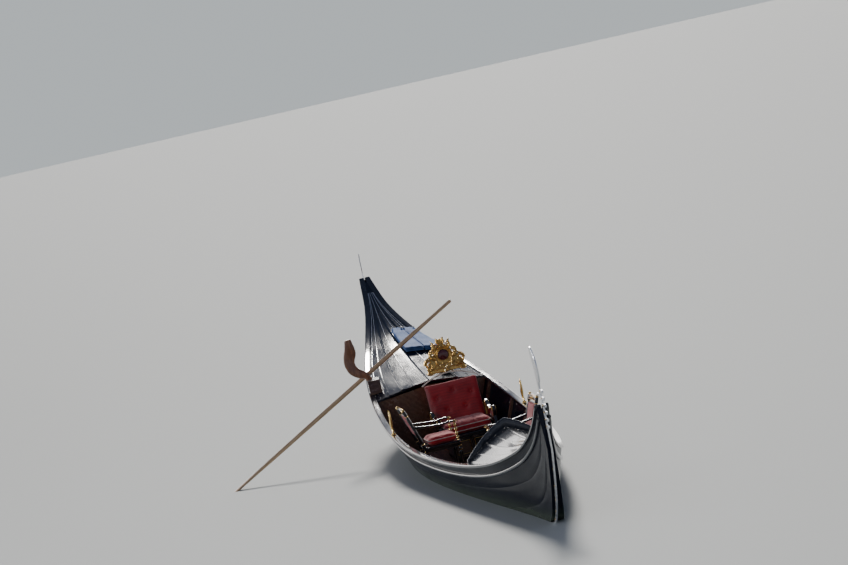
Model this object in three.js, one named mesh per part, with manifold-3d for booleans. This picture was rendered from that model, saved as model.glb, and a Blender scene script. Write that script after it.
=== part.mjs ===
// A gondola: a flat-bottomed rowing boat with an iron at each end, one oar in its crutch, and guests' seats.
// Lengths are in millimetres. +X is the bow, +Y is port, +Z is up, and z = 0 is the waterline.
import * as THREE from "three";
import { mergeVertices } from "three/addons/utils/BufferGeometryUtils.js";
import Module from "manifold-3d";

const wasm = await Module();
wasm.setup();

// The hull's sections from stern to bow: place, half breadths at rim and bottom, and their heights.
const STATION = { x: 0, half: 1, foot: 2, rim: 3, keel: 4 };
const STATIONS = [
  [-5200, 44, 32, 1759, 1430],
  [-4800, 124, 62, 1429, 905],
  [-4200, 299, 150, 1098, 410],
  [-3400, 491, 262, 858, 110],
  [-2400, 632, 368, 647, -85],
  [-1200, 708, 434, 455, -195],
  [0, 699, 436, 354, -230],
  [1200, 607, 366, 327, -230],
  [2400, 467, 262, 361, -200],
  [3400, 321, 164, 456, -150],
  [4200, 168, 86, 617, -90],
  [4600, 100, 58, 759, 45],
  [4900, 64, 44, 904, 305],
  [5200, 44, 32, 1081, 715],
];
const BOAT_HALF = 5200; // from the middle to the end of the planking
const GAP = 0.3; // between pieces that touch
const MIDDLE_TO_PORT = 115; // the middle line bows to port, against the push of the one oar
const COARSE_STEP = 400; // spacing of the sections along the middle of the boat
const FINE_STEP = 200; // and towards its ends
const FINE_FROM = 2400;

const PLANK = 20; // thickness of the side planks
const BOTTOM_PLANK = 22;
const BOTTOM_END = 4200; // the flat bottom meets the end posts here
// Each side is planked in two lengths.
const SIDE_PARTS = { aft: [-BOAT_HALF, -GAP / 2], fore: [GAP / 2, BOAT_HALF] };
const NOSE = { length: 60, half: 9, foot: 8, below: 8 }; // the wedge beyond the planking, narrow at its tip
const POST = { height: 80, beyond: 6 }; // the timber between the planks' ends

const RIB = { width: 34, depth: 30, let: 8, places: [-2130, -1250, -560, 60, 760, 1420, 2080] };
const TIMBER = { width: 44, let: 8, clear: 8, places: [-2000, -1200, -400, 400, 1200, 2000] };

const GUNWALE = { inward: 48, outward: 20, height: 28, chamfer: 7 };
const RUB = { below: 92, height: 30, depth: 20, gap: 1 };

const BOW_DECK_AFT = 2350;
const STERN_DECK_FORE = -2300;
const DECK_END = 5150;
const DECK = { rise: 3, thick: 15, batten: 12, battenRise: 11 };
const BOW_RIDGE = 0.6; // how high a deck's ridge stands, as a share of its half breadth
const STERN_RIDGE = 0.16;
const RIDGE_ROUND = 0.35; // 0 is two flat slopes that meet in the ridge, 1 is one round arch
const BATTEN_FRACTIONS = [-0.52, 0, 0.52]; // the fanned mouldings, as shares of the deck's half breadth

const FLOOR = { above: 82, thick: 18, clear: 12, gap: 3, ends: [-2280, -760, 760, 2250] };

const BULKHEAD = { thick: 18, clear: 5 };
const DOOR = { width: 420, height: 330, above: 70, thick: 12, lap: 14, clear: 5 };

const THWART = { width: 190, thick: 24, below: 34, clear: 4 };
const THWART_X = 1765;
const COAMING = { thick: 24, height: 96, fall: 0.6, fore: 2, clear: 0.5 }; // the board behind the bow deck

// The guests' seat, a box with a cushion, a padded back and a carved and gilded crest.
const SEAT = { x: -1580, y: 275, width: 440, depth: 540, base: 250, board: 30 };
const SEAT_PAD = { height: 110, width: 550, short: 10 };
const SEAT_BACK = { lean: 13, thick: 70, height: 490, width: 620, low: 260, drop: 90, clear: 4 };
const SEAT_CREST = { thick: 36, height: 370, width: 460 };
const SEAT_ARM = { width: 40, height: 290, length: 500, low: 215, out: 280 };

// Small armchairs face inboard with their backs along the boat's sides.
const CHAIR = { width: 430, depth: 380, seat: 400, back: 430, lean: 150, leg: 36, board: 28, rail: 60 };
const CHAIR_STEP = 60; // how far a chair's seat stands out over its feet, where the hull widens upwards
const CHAIR_PAD = { cushion: 70, back: 30 };
const CHAIR_CLEAR = 44; // from the planks
const CHAIR_PLACES = { starboard: -500, port: 900 };

const FORCOLA_X = -2750;
const BLOCK = { length: 420, onDeck: 84, height: 62 };
// The carved oar crutch from its foot up: outboard of the rim, height above the block, half widths.
const CRUTCH = { out: 0, up: 1, fore: 2, thick: 3 };
const CRUTCH_ROWS = [
  [-22, 2, 52, 34],
  [-20, 24, 55, 36],
  [6, 60, 57, 40],
  [66, 92, 56, 50],
  [120, 138, 48, 56],
  [142, 190, 40, 58],
  [148, 232, 34, 60],
  [138, 285, 31, 64],
  [122, 330, 31, 68],
  [114, 380, 32, 60],
  [113, 425, 31, 50],
  [113, 470, 28, 40],
  [113, 484, 24, 34],
];

const OAR = { radius: 24, grip: 19, inboard: 1260, loom: 1450 };
const OAR_BLADE = { length: 1250, width: 140, thick: 26 };
const OAR_REST = { out: 2, up: 38, aft: 88 }; // the oar's turning point, from the crutch's foot
const OAR_DIP = 28.2; // degrees below the level

const BOW_IRON = { thick: 14, strap: 46, foot: 4300, tooth: 118, toothHeight: 34, toothPitch: 62 };
const STRAP_GAP = 9; // between the irons and the posts they cover
const STERN_IRON = { thick: 12, strap: 36, foot: -4500, spike: 300 };

const COVER = { from: -4200, to: -3500, inner: 0.02, outer: 1.05, thick: 56, lift: 18 };
const FOOT_BOARD = { x: -2900, toPort: 330, length: 520, width: 200, thick: 34 };
const HORSE = { x: -760, inboard: 12, above: 6 };

function paint(color, roughness, metalness = 0) {
  return new THREE.MeshStandardMaterial({ color, roughness, metalness });
}

const BLACK_LACQUER = paint(0x0c0d14, 0.15);
const RIM_LACQUER = paint(0x14151c, 0.12);
const DECK_LACQUER = paint(0x101320, 0.1);
const INNER_WOOD = paint(0x2a1c16, 0.35);
const FLOOR_WOOD = paint(0x6b4a3a, 0.5);
const WALNUT = paint(0x5a3424, 0.4);
const PALE_WOOD = paint(0xc9a679, 0.45);
const BRIGHT_IRON = paint(0xd8dade, 0.18, 1);
const BRASS = paint(0xc9a04a, 0.2, 1);
const GILT = paint(0xc08a2c, 0.3, 1);
const RED_CLOTH = paint(0x8c1420, 0.85);
const BLUE_COVER = paint(0x6f9ccd, 0.4);

const radians = THREE.MathUtils.degToRad;

// A closed surface as a solid, turned so that it faces outwards.
function solidOf(geometry) {
  const bare = geometry.index ? geometry.toNonIndexed() : geometry.clone();
  bare.deleteAttribute("normal");
  bare.deleteAttribute("uv");
  const merged = mergeVertices(bare, 1e-3);
  const vertProperties = new Float32Array(merged.attributes.position.array);
  const make = (triVerts) => new wasm.Manifold(new wasm.Mesh({ numProp: 3, vertProperties, triVerts }));
  const triangles = new Uint32Array(merged.index.array);
  const made = make(triangles);
  return made.volume() < 0 ? make(triangles.reverse()) : made;
}

function geometryOf(solid) {
  const mesh = solid.getMesh();
  const geometry = new THREE.BufferGeometry();
  geometry.setAttribute("position", new THREE.BufferAttribute(new Float32Array(mesh.vertProperties), 3));
  geometry.setIndex(new THREE.BufferAttribute(new Uint32Array(mesh.triVerts), 1));
  geometry.computeVertexNormals();
  return geometry;
}

const joined = (solids) => solids.reduce((whole, piece) => whole.add(piece));

// The faces that close a loop whose halves run opposite each other, like the two sides of a ladder.
const LADDER_MOST = 10; // points in the longest loop closed that way
function ladder(count) {
  const faces = [];
  for (let k = 0; k < count / 2 - 1; k++) {
    faces.push([k, k + 1, count - 2 - k], [k, count - 2 - k, count - 1 - k]);
  }
  return faces;
}

// A solid through closed loops of [x, y, z] points, whose end loops are flat in the plane of two axes.
function loft(loops, plane = [1, 2]) {
  const count = loops[0].length;
  const index = [];
  for (let row = 0; row + 1 < loops.length; row++) {
    for (let k = 0; k < count; k++) {
      const a = row * count + k;
      const b = row * count + ((k + 1) % count);
      index.push(a, b, b + count, a, b + count, a + count);
    }
  }
  const cap = (loop, start, reversed) => {
    const flat = loop.map((p) => new THREE.Vector2(p[plane[0]], p[plane[1]]));
    const turn = Math.sign(THREE.ShapeUtils.area(flat));
    const laddered = flat.length % 2 === 0 && flat.length <= LADDER_MOST;
    const faces = laddered ? ladder(flat.length) : THREE.ShapeUtils.triangulateShape(flat, []);
    for (const face of faces) {
      const same = Math.sign(THREE.ShapeUtils.area(face.map((i) => flat[i]))) === turn;
      const [i, j, k] = same === reversed ? [face[0], face[2], face[1]] : face;
      index.push(start + i, start + j, start + k);
    }
  };
  cap(loops[0], 0, true);
  cap(loops[loops.length - 1], (loops.length - 1) * count, false);
  const geometry = new THREE.BufferGeometry();
  geometry.setAttribute("position", new THREE.Float32BufferAttribute(loops.flat(2), 3));
  geometry.setIndex(index);
  return solidOf(geometry);
}

// A box by its middle and its size.
function box(x, y, z, length, width, height) {
  return solidOf(new THREE.BoxGeometry(length, width, height).translate(x, y, z));
}

// A bar of oval section along a path: each row holds its middle, its half width "across" and its half depth.
function sweep(rows, across, sides = 10) {
  const side = new THREE.Vector3(...across).normalize();
  const loops = rows.map((row, i) => {
    const before = new THREE.Vector3(...rows[Math.max(i - 1, 0)].at);
    const after = new THREE.Vector3(...rows[Math.min(i + 1, rows.length - 1)].at);
    const along = after.sub(before).normalize();
    const u = side.clone().addScaledVector(along, -side.dot(along)).normalize();
    const v = new THREE.Vector3().crossVectors(along, u);
    const middle = new THREE.Vector3(...row.at);
    return Array.from({ length: sides }, (_, k) => {
      const angle = (2 * Math.PI * k) / sides;
      const point = middle.clone().addScaledVector(u, row.wide * Math.cos(angle));
      return point.addScaledVector(v, row.deep * Math.sin(angle)).toArray();
    });
  });
  return fanCapped(loops);
}

// A solid through round loops, whose ends are closed by a fan about the first point.
function fanCapped(loops) {
  const count = loops[0].length;
  const index = [];
  for (let row = 0; row + 1 < loops.length; row++) {
    for (let k = 0; k < count; k++) {
      const a = row * count + k;
      const b = row * count + ((k + 1) % count);
      index.push(a, b, b + count, a, b + count, a + count);
    }
  }
  const last = (loops.length - 1) * count;
  for (let k = 1; k + 1 < count; k++) {
    index.push(0, k + 1, k);
    index.push(last, last + k, last + k + 1);
  }
  const geometry = new THREE.BufferGeometry();
  geometry.setAttribute("position", new THREE.Float32BufferAttribute(loops.flat(2), 3));
  geometry.setIndex(index);
  return solidOf(geometry);
}

// A flat plate cut to an outline in the boat's middle plane, of even thickness about y.
function plate(outline, thick, y = 0) {
  const shape = new THREE.Shape(outline.map(([x, z]) => new THREE.Vector2(x, z)));
  const geometry = new THREE.ExtrudeGeometry(shape, { depth: thick, bevelEnabled: false, curveSegments: 6 });
  return solidOf(geometry.rotateX(Math.PI / 2).translate(0, y + thick / 2, 0));
}

// A smooth value of one station column at x.
function smooth(column, x) {
  const last = STATIONS.length - 1;
  const beyond = STATIONS.findIndex((row) => row[STATION.x] > x);
  const i = beyond < 0 ? last - 1 : Math.max(0, beyond - 1);
  const at = (k) => STATIONS[Math.max(0, Math.min(last, k))];
  const slope = (k) => {
    const [before, after] = [at(k - 1), at(k + 1)];
    return (after[column] - before[column]) / (after[STATION.x] - before[STATION.x]);
  };
  const span = at(i + 1)[STATION.x] - at(i)[STATION.x];
  const t = (x - at(i)[STATION.x]) / span;
  const start = at(i)[column] * (2 * t ** 3 - 3 * t ** 2 + 1) + slope(i) * span * (t ** 3 - 2 * t ** 2 + t);
  const end = at(i + 1)[column] * (3 * t ** 2 - 2 * t ** 3) + slope(i + 1) * span * (t ** 3 - t ** 2);
  return start + end;
}

const SECTIONS = [];
for (let x = -BOAT_HALF; x < BOAT_HALF; x += Math.abs(x + 1) >= FINE_FROM ? FINE_STEP : COARSE_STEP) {
  SECTIONS.push(x);
}
SECTIONS.push(BOAT_HALF);

// The hull's measures at x, straight between sections so that neighbouring pieces share their faces.
function hull(x) {
  const place = Math.max(-BOAT_HALF, Math.min(BOAT_HALF, x));
  const beyond = SECTIONS.findIndex((s) => s > place);
  const at = beyond < 0 ? SECTIONS.length - 2 : Math.max(0, beyond - 1);
  const t = (place - SECTIONS[at]) / (SECTIONS[at + 1] - SECTIONS[at]);
  const value = (f) => f(SECTIONS[at]) * (1 - t) + f(SECTIONS[at + 1]) * t;
  return {
    half: value((s) => smooth(STATION.half, s)),
    foot: value((s) => smooth(STATION.foot, s)),
    rim: value((s) => smooth(STATION.rim, s)),
    keel: value((s) => smooth(STATION.keel, s)),
    middle: value((s) => MIDDLE_TO_PORT * (1 - (s / BOAT_HALF) ** 2)),
  };
}

// Half breadth of the planking's outer face at height z.
function outerHalf(h, z) {
  const share = (z - h.keel) / (h.rim - h.keel);
  return h.foot + (h.half - h.foot) * share;
}

// The rub rail's upper and lower edge; it stays above the bottom where the ends are shallow.
function railHeights(h) {
  const high = h.rim - Math.min(RUB.below - RUB.height / 2, 0.4 * (h.rim - h.keel));
  return { high, low: high - RUB.height };
}

// The places of the sections between two ends, with the ends themselves.
const placesBetween = (from, to) => [from, ...SECTIONS.filter((s) => s > from + 1 && s < to - 1), to];

// A long piece that follows the hull: section(h, x) gives its outline at x as [y, z] points.
function along(from, to, section) {
  return loft(placesBetween(from, to).map((x) => section(hull(x), x).map(([y, z]) => [x, y, z])));
}

function bottomPlanks() {
  const planks = along(-BOTTOM_END, BOTTOM_END, (h) => {
    const w = h.foot - PLANK - GAP;
    return [
      [h.middle - w, h.keel],
      [h.middle + w, h.keel],
      [h.middle + w, h.keel + BOTTOM_PLANK],
      [h.middle - w, h.keel + BOTTOM_PLANK],
    ];
  });
  const timbers = TIMBER.places.map((x) => {
    const h = hull(x);
    const lift = Math.abs(hull(x + TIMBER.width / 2).keel - hull(x - TIMBER.width / 2).keel) / 2;
    const top = h.keel + FLOOR.above - lift - 1;
    const low = h.keel + BOTTOM_PLANK - TIMBER.let;
    const width = 2 * (h.foot - PLANK - TIMBER.clear);
    return box(x, h.middle, (top + low) / 2, TIMBER.width, width, top - low);
  });
  return joined([planks, ...timbers]);
}

function sidePlanks(side, from, to) {
  const planks = along(from, to, (h) => {
    const rail = railHeights(h);
    const heights = [h.rim, rail.high, rail.low, (rail.low + h.keel) / 2, h.keel];
    const outer = heights.map((z) => [h.middle + side * outerHalf(h, z), z]);
    const inner = heights.map((z) => [h.middle + side * (outerHalf(h, z) - PLANK), z]);
    return [...outer, ...inner.reverse()];
  });
  const ribs = RIB.places.filter((x) => x > from && x < to).map((x) => {
    const loops = [x - RIB.width / 2, x + RIB.width / 2].map((place) => {
      const h = hull(place);
      const low = h.keel + FLOOR.above + FLOOR.thick + 4;
      const high = h.rim - 2;
      const lowIn = outerHalf(h, low) - PLANK;
      const highIn = outerHalf(h, high) - PLANK;
      return [
        [place, h.middle + side * (lowIn + RIB.let), low],
        [place, h.middle + side * (highIn + RIB.let), high],
        [place, h.middle + side * (highIn - RIB.depth), high],
        [place, h.middle + side * (lowIn - RIB.depth), low],
      ];
    });
    return loft(loops);
  });
  return joined([planks, ...ribs]);
}

// The post between the planks' ends, and the wedge in front of them.
function endPost(end) {
  const inner = [];
  for (const x of placesBetween(BOTTOM_END + GAP, BOAT_HALF)) {
    const h = hull(end * x);
    const w = h.foot - PLANK - GAP;
    inner.push([
      [end * x, h.middle - w, h.keel],
      [end * x, h.middle + w, h.keel],
      [end * x, h.middle + w, h.keel + POST.height],
      [end * x, h.middle - w, h.keel + POST.height],
    ]);
  }
  const tip = hull(end * BOAT_HALF);
  const tail = inner[inner.length - 1].map(([, y, z]) => [end * (BOAT_HALF + POST.beyond), y, z]);
  const wedge = [
    [BOAT_HALF + GAP, tip.half, tip.foot, tip.keel],
    [BOAT_HALF + NOSE.length, NOSE.half, NOSE.foot, tip.rim - NOSE.below],
  ].map(([x, top, low, z]) => [
    [end * x, -low, z],
    [end * x, low, z],
    [end * x, top, tip.rim],
    [end * x, -top, tip.rim],
  ]);
  return joined([loft([...inner, tail]), loft(wedge)]);
}

function gunwale(side) {
  return along(-BOAT_HALF, BOAT_HALF, (h) => {
    const inner = Math.max(h.half - GUNWALE.inward, 4);
    const low = h.rim + GAP;
    const high = h.rim + GUNWALE.height;
    return [
      [h.middle + side * inner, low],
      [h.middle + side * (h.half + GUNWALE.outward), low],
      [h.middle + side * (h.half + GUNWALE.outward), high - GUNWALE.chamfer],
      [h.middle + side * (h.half + GUNWALE.outward - GUNWALE.chamfer), high],
      [h.middle + side * inner, high],
    ];
  });
}

function rubRail(side) {
  return along(-BOAT_HALF, BOAT_HALF, (h) => {
    const { high, low } = railHeights(h);
    const skin = (z) => outerHalf(h, z) + RUB.gap;
    return [
      [h.middle + side * skin(high), high],
      [h.middle + side * skin(low), low],
      [h.middle + side * (skin(low) + RUB.depth * 0.6), low],
      [h.middle + side * (skin(low) + RUB.depth), (low + high) / 2],
      [h.middle + side * (skin(high) + RUB.depth * 0.6), high],
    ];
  });
}

// Height of a deck's top at a share u of its half breadth w, ridged along its middle.
function deckTop(h, w, ridge, u) {
  const arch = RIDGE_ROUND * (1 - u * u) + (1 - RIDGE_ROUND) * (1 - Math.abs(u));
  return h.rim + DECK.rise + DECK.thick + ridge * w * arch;
}

const deckHalf = (h) => Math.max(h.half - GUNWALE.inward, 4) - 0.5;

// A deck's upper outline at one section, with the raised mouldings that fan out from the boat's end.
function deckOutline(h, ridge) {
  const w = deckHalf(h);
  const batten = Math.min(DECK.batten, 0.14 * w);
  const rise = Math.min(DECK.battenRise, 0.5 * w);
  const upper = [[-w, deckTop(h, w, ridge, -1)]];
  for (const u of BATTEN_FRACTIONS) {
    const z = deckTop(h, w, ridge, u);
    upper.push([u * w - batten, z], [u * w - batten * 0.7, z + rise], [u * w + batten * 0.7, z + rise]);
    upper.push([u * w + batten, z]);
  }
  upper.push([w, deckTop(h, w, ridge, 1)]);
  return upper.map(([y, z]) => [h.middle + y, z]);
}

// A ridged deck between the gunwales.
function deck(from, to, ridge) {
  return along(from, to, (h) => {
    const w = deckHalf(h);
    const under = [1, 0.5, 0, -0.5, -1].map((u) => [h.middle + u * w, deckTop(h, w, ridge, u) - DECK.thick]);
    return [...deckOutline(h, ridge), ...under];
  });
}

// The upright board across the bow deck's aft edge, fitted over the deck's mouldings.
function coaming() {
  const aft = BOW_DECK_AFT + COAMING.fore;
  const loops = [aft, aft + COAMING.thick].map((x) => {
    const h = hull(x);
    const base = deckOutline(h, BOW_RIDGE).map(([y, z]) => [x, y, z + COAMING.clear]);
    const top = [1, 0.75, 0.5, 0.25, 0, -0.25, -0.5, -0.75, -1].map((u) => {
      const z = deckTop(h, deckHalf(h), BOW_RIDGE, u) + COAMING.height * (1 - COAMING.fall * u ** 2);
      return [x, h.middle + u * deckHalf(h), z];
    });
    return [...base, ...top];
  });
  return loft(loops);
}

function floorPanel(from, to) {
  return along(from + FLOOR.gap / 2, to - FLOOR.gap / 2, (h) => {
    const low = h.keel + FLOOR.above;
    const w = outerHalf(h, low) - PLANK - FLOOR.clear;
    return [
      [h.middle - w, low],
      [h.middle + w, low],
      [h.middle + w, low + FLOOR.thick],
      [h.middle - w, low + FLOOR.thick],
    ];
  });
}

// An upright panel across the hull at x, from the bottom to the deck's ridge, with or without a doorway.
function bulkhead(x, end, ridge, doorway) {
  const far = hull(x + end * BULKHEAD.thick);
  const near = hull(x);
  const h = far.half < near.half ? far : near;
  const low = Math.max(far.keel, near.keel) + BOTTOM_PLANK + 2;
  const inner = (z) => outerHalf(h, z) - PLANK - BULKHEAD.clear;
  const w = deckHalf(h) - 4;
  const drop = DECK.thick + Math.abs(far.rim - near.rim) + 1;
  const under = (u) => deckTop(h, w, ridge, u) - drop;
  const shape = new THREE.Shape(
    [
      [-inner(low), low],
      [inner(low), low],
      [inner(h.rim - 4), h.rim - 4],
      [w, h.rim - 4],
      [w, under(1)],
      [0.5 * w, under(0.5)],
      [0, under(0)],
      [-0.5 * w, under(-0.5)],
      [-w, under(-1)],
      [-w, h.rim - 4],
      [-inner(h.rim - 4), h.rim - 4],
    ].map(([y, z]) => new THREE.Vector2(h.middle + y, z)),
  );
  if (doorway) shape.holes.push(new THREE.Path(doorway.map(([y, z]) => new THREE.Vector2(y, z))));
  const geometry = new THREE.ExtrudeGeometry(shape, { depth: BULKHEAD.thick, bevelEnabled: false });
  geometry.rotateX(Math.PI / 2).rotateZ(Math.PI / 2);
  geometry.translate(end > 0 ? x : x - BULKHEAD.thick, 0, 0);
  return solidOf(geometry);
}

const doorMiddle = hull(BOW_DECK_AFT).middle;
const doorLow = hull(BOW_DECK_AFT).keel + FLOOR.above + DOOR.above;
const doorway = [
  [doorMiddle - DOOR.width / 2, doorLow],
  [doorMiddle + DOOR.width / 2, doorLow],
  [doorMiddle + DOOR.width / 2, doorLow + DOOR.height],
  [doorMiddle - DOOR.width / 2, doorLow + DOOR.height],
];

// The locker door laps its doorway on the cockpit side of the bulkhead.
function lockerDoor() {
  const x = BOW_DECK_AFT - DOOR.clear - DOOR.thick / 2;
  const z = doorLow + DOOR.height / 2;
  return box(x, doorMiddle, z, DOOR.thick, DOOR.width + 2 * DOOR.lap, DOOR.height + 2 * DOOR.lap);
}

function thwart(x) {
  const ends = [x - THWART.width / 2, x + THWART.width / 2].map(hull);
  const high = Math.min(ends[0].rim, ends[1].rim) - THWART.below;
  const loops = [x - THWART.width / 2, x + THWART.width / 2].map((place) => {
    const h = hull(place);
    const w = outerHalf(h, high - THWART.thick) - PLANK - THWART.clear;
    return [
      [place, h.middle - w, high - THWART.thick],
      [place, h.middle + w, high - THWART.thick],
      [place, h.middle + w, high],
      [place, h.middle - w, high],
    ];
  });
  return loft(loops);
}

// A box with rounded upright edges and a crowned top, for cushions.
function pad(x, y, low, length, width, height, crown = 14) {
  const radius = Math.min(length, width) * 0.16;
  const shape = new THREE.Shape();
  shape.absarc(length / 2 - radius, width / 2 - radius, radius, 0, Math.PI / 2);
  shape.absarc(-length / 2 + radius, width / 2 - radius, radius, Math.PI / 2, Math.PI);
  shape.absarc(-length / 2 + radius, -width / 2 + radius, radius, Math.PI, 1.5 * Math.PI);
  shape.absarc(length / 2 - radius, -width / 2 + radius, radius, 1.5 * Math.PI, 2 * Math.PI);
  const ring = shape.getPoints(4).slice(0, -1);
  const rows = [
    [0.94, low],
    [1, low + height * 0.3],
    [1, low + height * 0.65],
    [0.92, low + height],
    [0.6, low + height + crown],
  ];
  return fanCapped(rows.map(([scale, z]) => ring.map((p) => [x + p.x * scale, y + p.y * scale, z])));
}

const floorTop = (x) => hull(x).keel + FLOOR.above + FLOOR.thick;
const seatLow = Math.max(floorTop(SEAT.x - SEAT.depth / 2), floorTop(SEAT.x + SEAT.depth / 2)) + 1;

// The base is a box under a wider board, which reaches from arm to arm.
function seatBase() {
  const chest = box(SEAT.x, SEAT.y, seatLow + SEAT.base / 2, SEAT.depth, SEAT.width, SEAT.base);
  const z = seatLow + SEAT.base - SEAT.board / 2;
  return joined([chest, box(SEAT.x, SEAT.y, z, SEAT.depth, 2 * (SEAT_ARM.out - GAP), SEAT.board)]);
}

const seatBackX = SEAT.x - SEAT.depth / 2 - SEAT_BACK.clear;

// The padded back leans aft and bends round the guests.
function seatBack() {
  const rows = [-1, -0.6, 0, 0.6, 1].map((u) => {
    const y = SEAT.y + (u * SEAT_BACK.width) / 2;
    const low = seatLow + SEAT_BACK.low;
    const high = seatLow + SEAT.base + SEAT_PAD.height + SEAT_BACK.height - SEAT_BACK.drop * u * u;
    const lean = Math.tan(radians(SEAT_BACK.lean)) * (high - low);
    const x = seatBackX;
    return [
      [x, y, low],
      [x - SEAT_BACK.thick, y, low],
      [x - SEAT_BACK.thick - lean, y, high],
      [x - lean, y, high],
    ];
  });
  return loft(rows, [0, 2]);
}

// The crest's outline from its middle to one side: share of the half width, share of the height.
const CREST_OUTLINE = [
  [0, 1],
  [0.12, 0.94],
  [0.2, 0.78],
  [0.42, 0.74],
  [0.5, 0.55],
  [0.72, 0.5],
  [0.84, 0.34],
  [1, 0.22],
  [0.94, 0],
];

function seatCrest() {
  const low = seatLow + SEAT.base + SEAT_PAD.height + SEAT_BACK.height + 1;
  const lean = Math.tan(radians(SEAT_BACK.lean));
  const backHeight = SEAT_BACK.height + SEAT.base + SEAT_PAD.height - SEAT_BACK.low;
  const x = seatBackX - lean * backHeight - SEAT_BACK.thick / 2;
  const half = SEAT_CREST.width / 2;
  const right = CREST_OUTLINE.map(([u, v]) => [u * half, v * SEAT_CREST.height]);
  const left = CREST_OUTLINE.slice(1).reverse().map(([u, v]) => [-u * half, v * SEAT_CREST.height]);
  const face = (offset) =>
    [...right, ...left].map(([y, z]) => [x + offset - z * lean, SEAT.y + y, low + z]);
  return loft([face(-SEAT_CREST.thick / 2), face(SEAT_CREST.thick / 2)]);
}

function seatArm(side) {
  const y = SEAT.y + side * (SEAT_ARM.out + SEAT_ARM.width / 2);
  const z = seatLow + SEAT_ARM.low + SEAT_ARM.height / 2;
  return box(SEAT.x + 10, y, z, SEAT_ARM.length, SEAT_ARM.width, SEAT_ARM.height);
}

// Where a side chair stands: its middle across the boat and the floor under it.
function chairSpot(name, side) {
  const x = CHAIR_PLACES[name];
  const ends = [x - CHAIR.width / 2, x + CHAIR.width / 2];
  const low = Math.max(...ends.map(floorTop)) + 1;
  const edge = Math.min(...ends.map((place) => outerHalf(hull(place), low))) - PLANK - CHAIR_CLEAR;
  return { x, low, y: hull(x).middle + side * (edge - CHAIR.depth / 2 + CHAIR_STEP) };
}

// Legs, seat board, back posts and top rail are one frame; the back and the stepped-in feet are outboard.
function chairFrame(name, side) {
  const { x, y, low } = chairSpot(name, side);
  const half = { x: (CHAIR.width - CHAIR.leg) / 2, y: (CHAIR.depth - CHAIR.leg) / 2 };
  const pieces = [box(x, y, low + CHAIR.seat - CHAIR.board / 2, CHAIR.width, CHAIR.depth, CHAIR.board)];
  for (const sx of [-1, 1]) {
    for (const sy of [-1, 1]) {
      const top = { y: y + sy * half.y, z: low + CHAIR.seat - CHAIR.board / 2 };
      const foot = { y: sy === side ? top.y - side * CHAIR_STEP : top.y, z: low };
      pieces.push(slab(x + sx * half.x, CHAIR.leg, CHAIR.leg, foot, top));
    }
    const post = [CHAIR.seat - CHAIR.board, CHAIR.seat + CHAIR.back];
    pieces.push(leaning(x + sx * half.x, y + side * half.y, low, side, CHAIR.leg, ...post));
  }
  const span = [CHAIR.seat + CHAIR.back - CHAIR.rail, CHAIR.seat + CHAIR.back];
  pieces.push(leaning(x, y + side * half.y, low, side, CHAIR.width, ...span));
  return joined(pieces);
}

// A slab between two level ends, each given by its middle.
function slab(x, width, thick, ...ends) {
  const loops = ends.map(({ y, z }) => [
    [x - width / 2, y - thick / 2, z],
    [x + width / 2, y - thick / 2, z],
    [x + width / 2, y + thick / 2, z],
    [x - width / 2, y + thick / 2, z],
  ]);
  return loft(loops, [0, 1]);
}

// A slab of the chair's leaning back between two heights above the chair's foot.
function leaning(x, y, low, side, width, from, to, thick = CHAIR.leg) {
  const ends = [from, to].map((up) => ({
    y: y + (side * CHAIR.lean * Math.max(0, up - CHAIR.seat)) / CHAIR.back,
    z: low + up,
  }));
  return slab(x, width, thick, ...ends);
}

function chairCushion(name, side) {
  const { x, y, low } = chairSpot(name, side);
  const room = CHAIR.depth - CHAIR.leg - 6;
  const inboard = y - side * (CHAIR.leg / 2 + 2);
  return pad(x, inboard, low + CHAIR.seat + 1, CHAIR.width - 16, room, CHAIR_PAD.cushion);
}

function chairBack(name, side) {
  const { x, y, low } = chairSpot(name, side);
  const span = [CHAIR.seat + CHAIR_PAD.cushion + 40, CHAIR.seat + CHAIR.back - CHAIR.rail - 4];
  const across = y + (side * (CHAIR.depth - CHAIR.leg)) / 2;
  return leaning(x, across, low, side, CHAIR.width - 2 * CHAIR.leg - 2, ...span, CHAIR_PAD.back);
}

const forcolaHull = hull(FORCOLA_X);
const rimY = forcolaHull.middle - forcolaHull.half;
const blockTop = hull(FORCOLA_X - BLOCK.length / 2).rim + GUNWALE.height + BLOCK.height;

// The block that holds the crutch sits on the gunwale and inside it.
function crutchBlock() {
  const loops = [-1, -0.7, 0.7, 1].map((u) => {
    const x = FORCOLA_X + (u * BLOCK.length) / 2;
    const h = hull(x);
    const out = h.middle - h.half - 4;
    const low = h.rim + GUNWALE.height + 1;
    const high = Math.abs(u) === 1 ? low + BLOCK.height * 0.3 : blockTop;
    const w = deckHalf(h);
    const inner = deckTop(h, w, STERN_RIDGE, (w - BLOCK.onDeck) / w) + 3;
    return [
      [x, out, low],
      [x, h.middle - w, low],
      [x, h.middle - w + BLOCK.onDeck, Math.max(low, inner)],
      [x, h.middle - w + BLOCK.onDeck, high],
      [x, h.middle - w, high],
      [x, out, high],
    ];
  });
  return loft(loops);
}

function crutch() {
  const rows = CRUTCH_ROWS.map((row) => ({
    at: [FORCOLA_X, rimY - row[CRUTCH.out], blockTop + row[CRUTCH.up] + 2],
    wide: row[CRUTCH.fore],
    deep: row[CRUTCH.thick],
  }));
  return sweep(rows, [1, 0, 0], 10);
}

const oarPivot = new THREE.Vector3(
  FORCOLA_X - OAR_REST.aft - OAR.radius,
  rimY - OAR_REST.out,
  blockTop + OAR_REST.up,
);
const oarAlong = new THREE.Vector3(0, -Math.cos(radians(OAR_DIP)), -Math.sin(radians(OAR_DIP)));

function oarRows(rows) {
  return rows.map(([distance, wide, deep]) => ({
    at: oarPivot.clone().addScaledVector(oarAlong, distance).toArray(),
    wide,
    deep,
  }));
}

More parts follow.
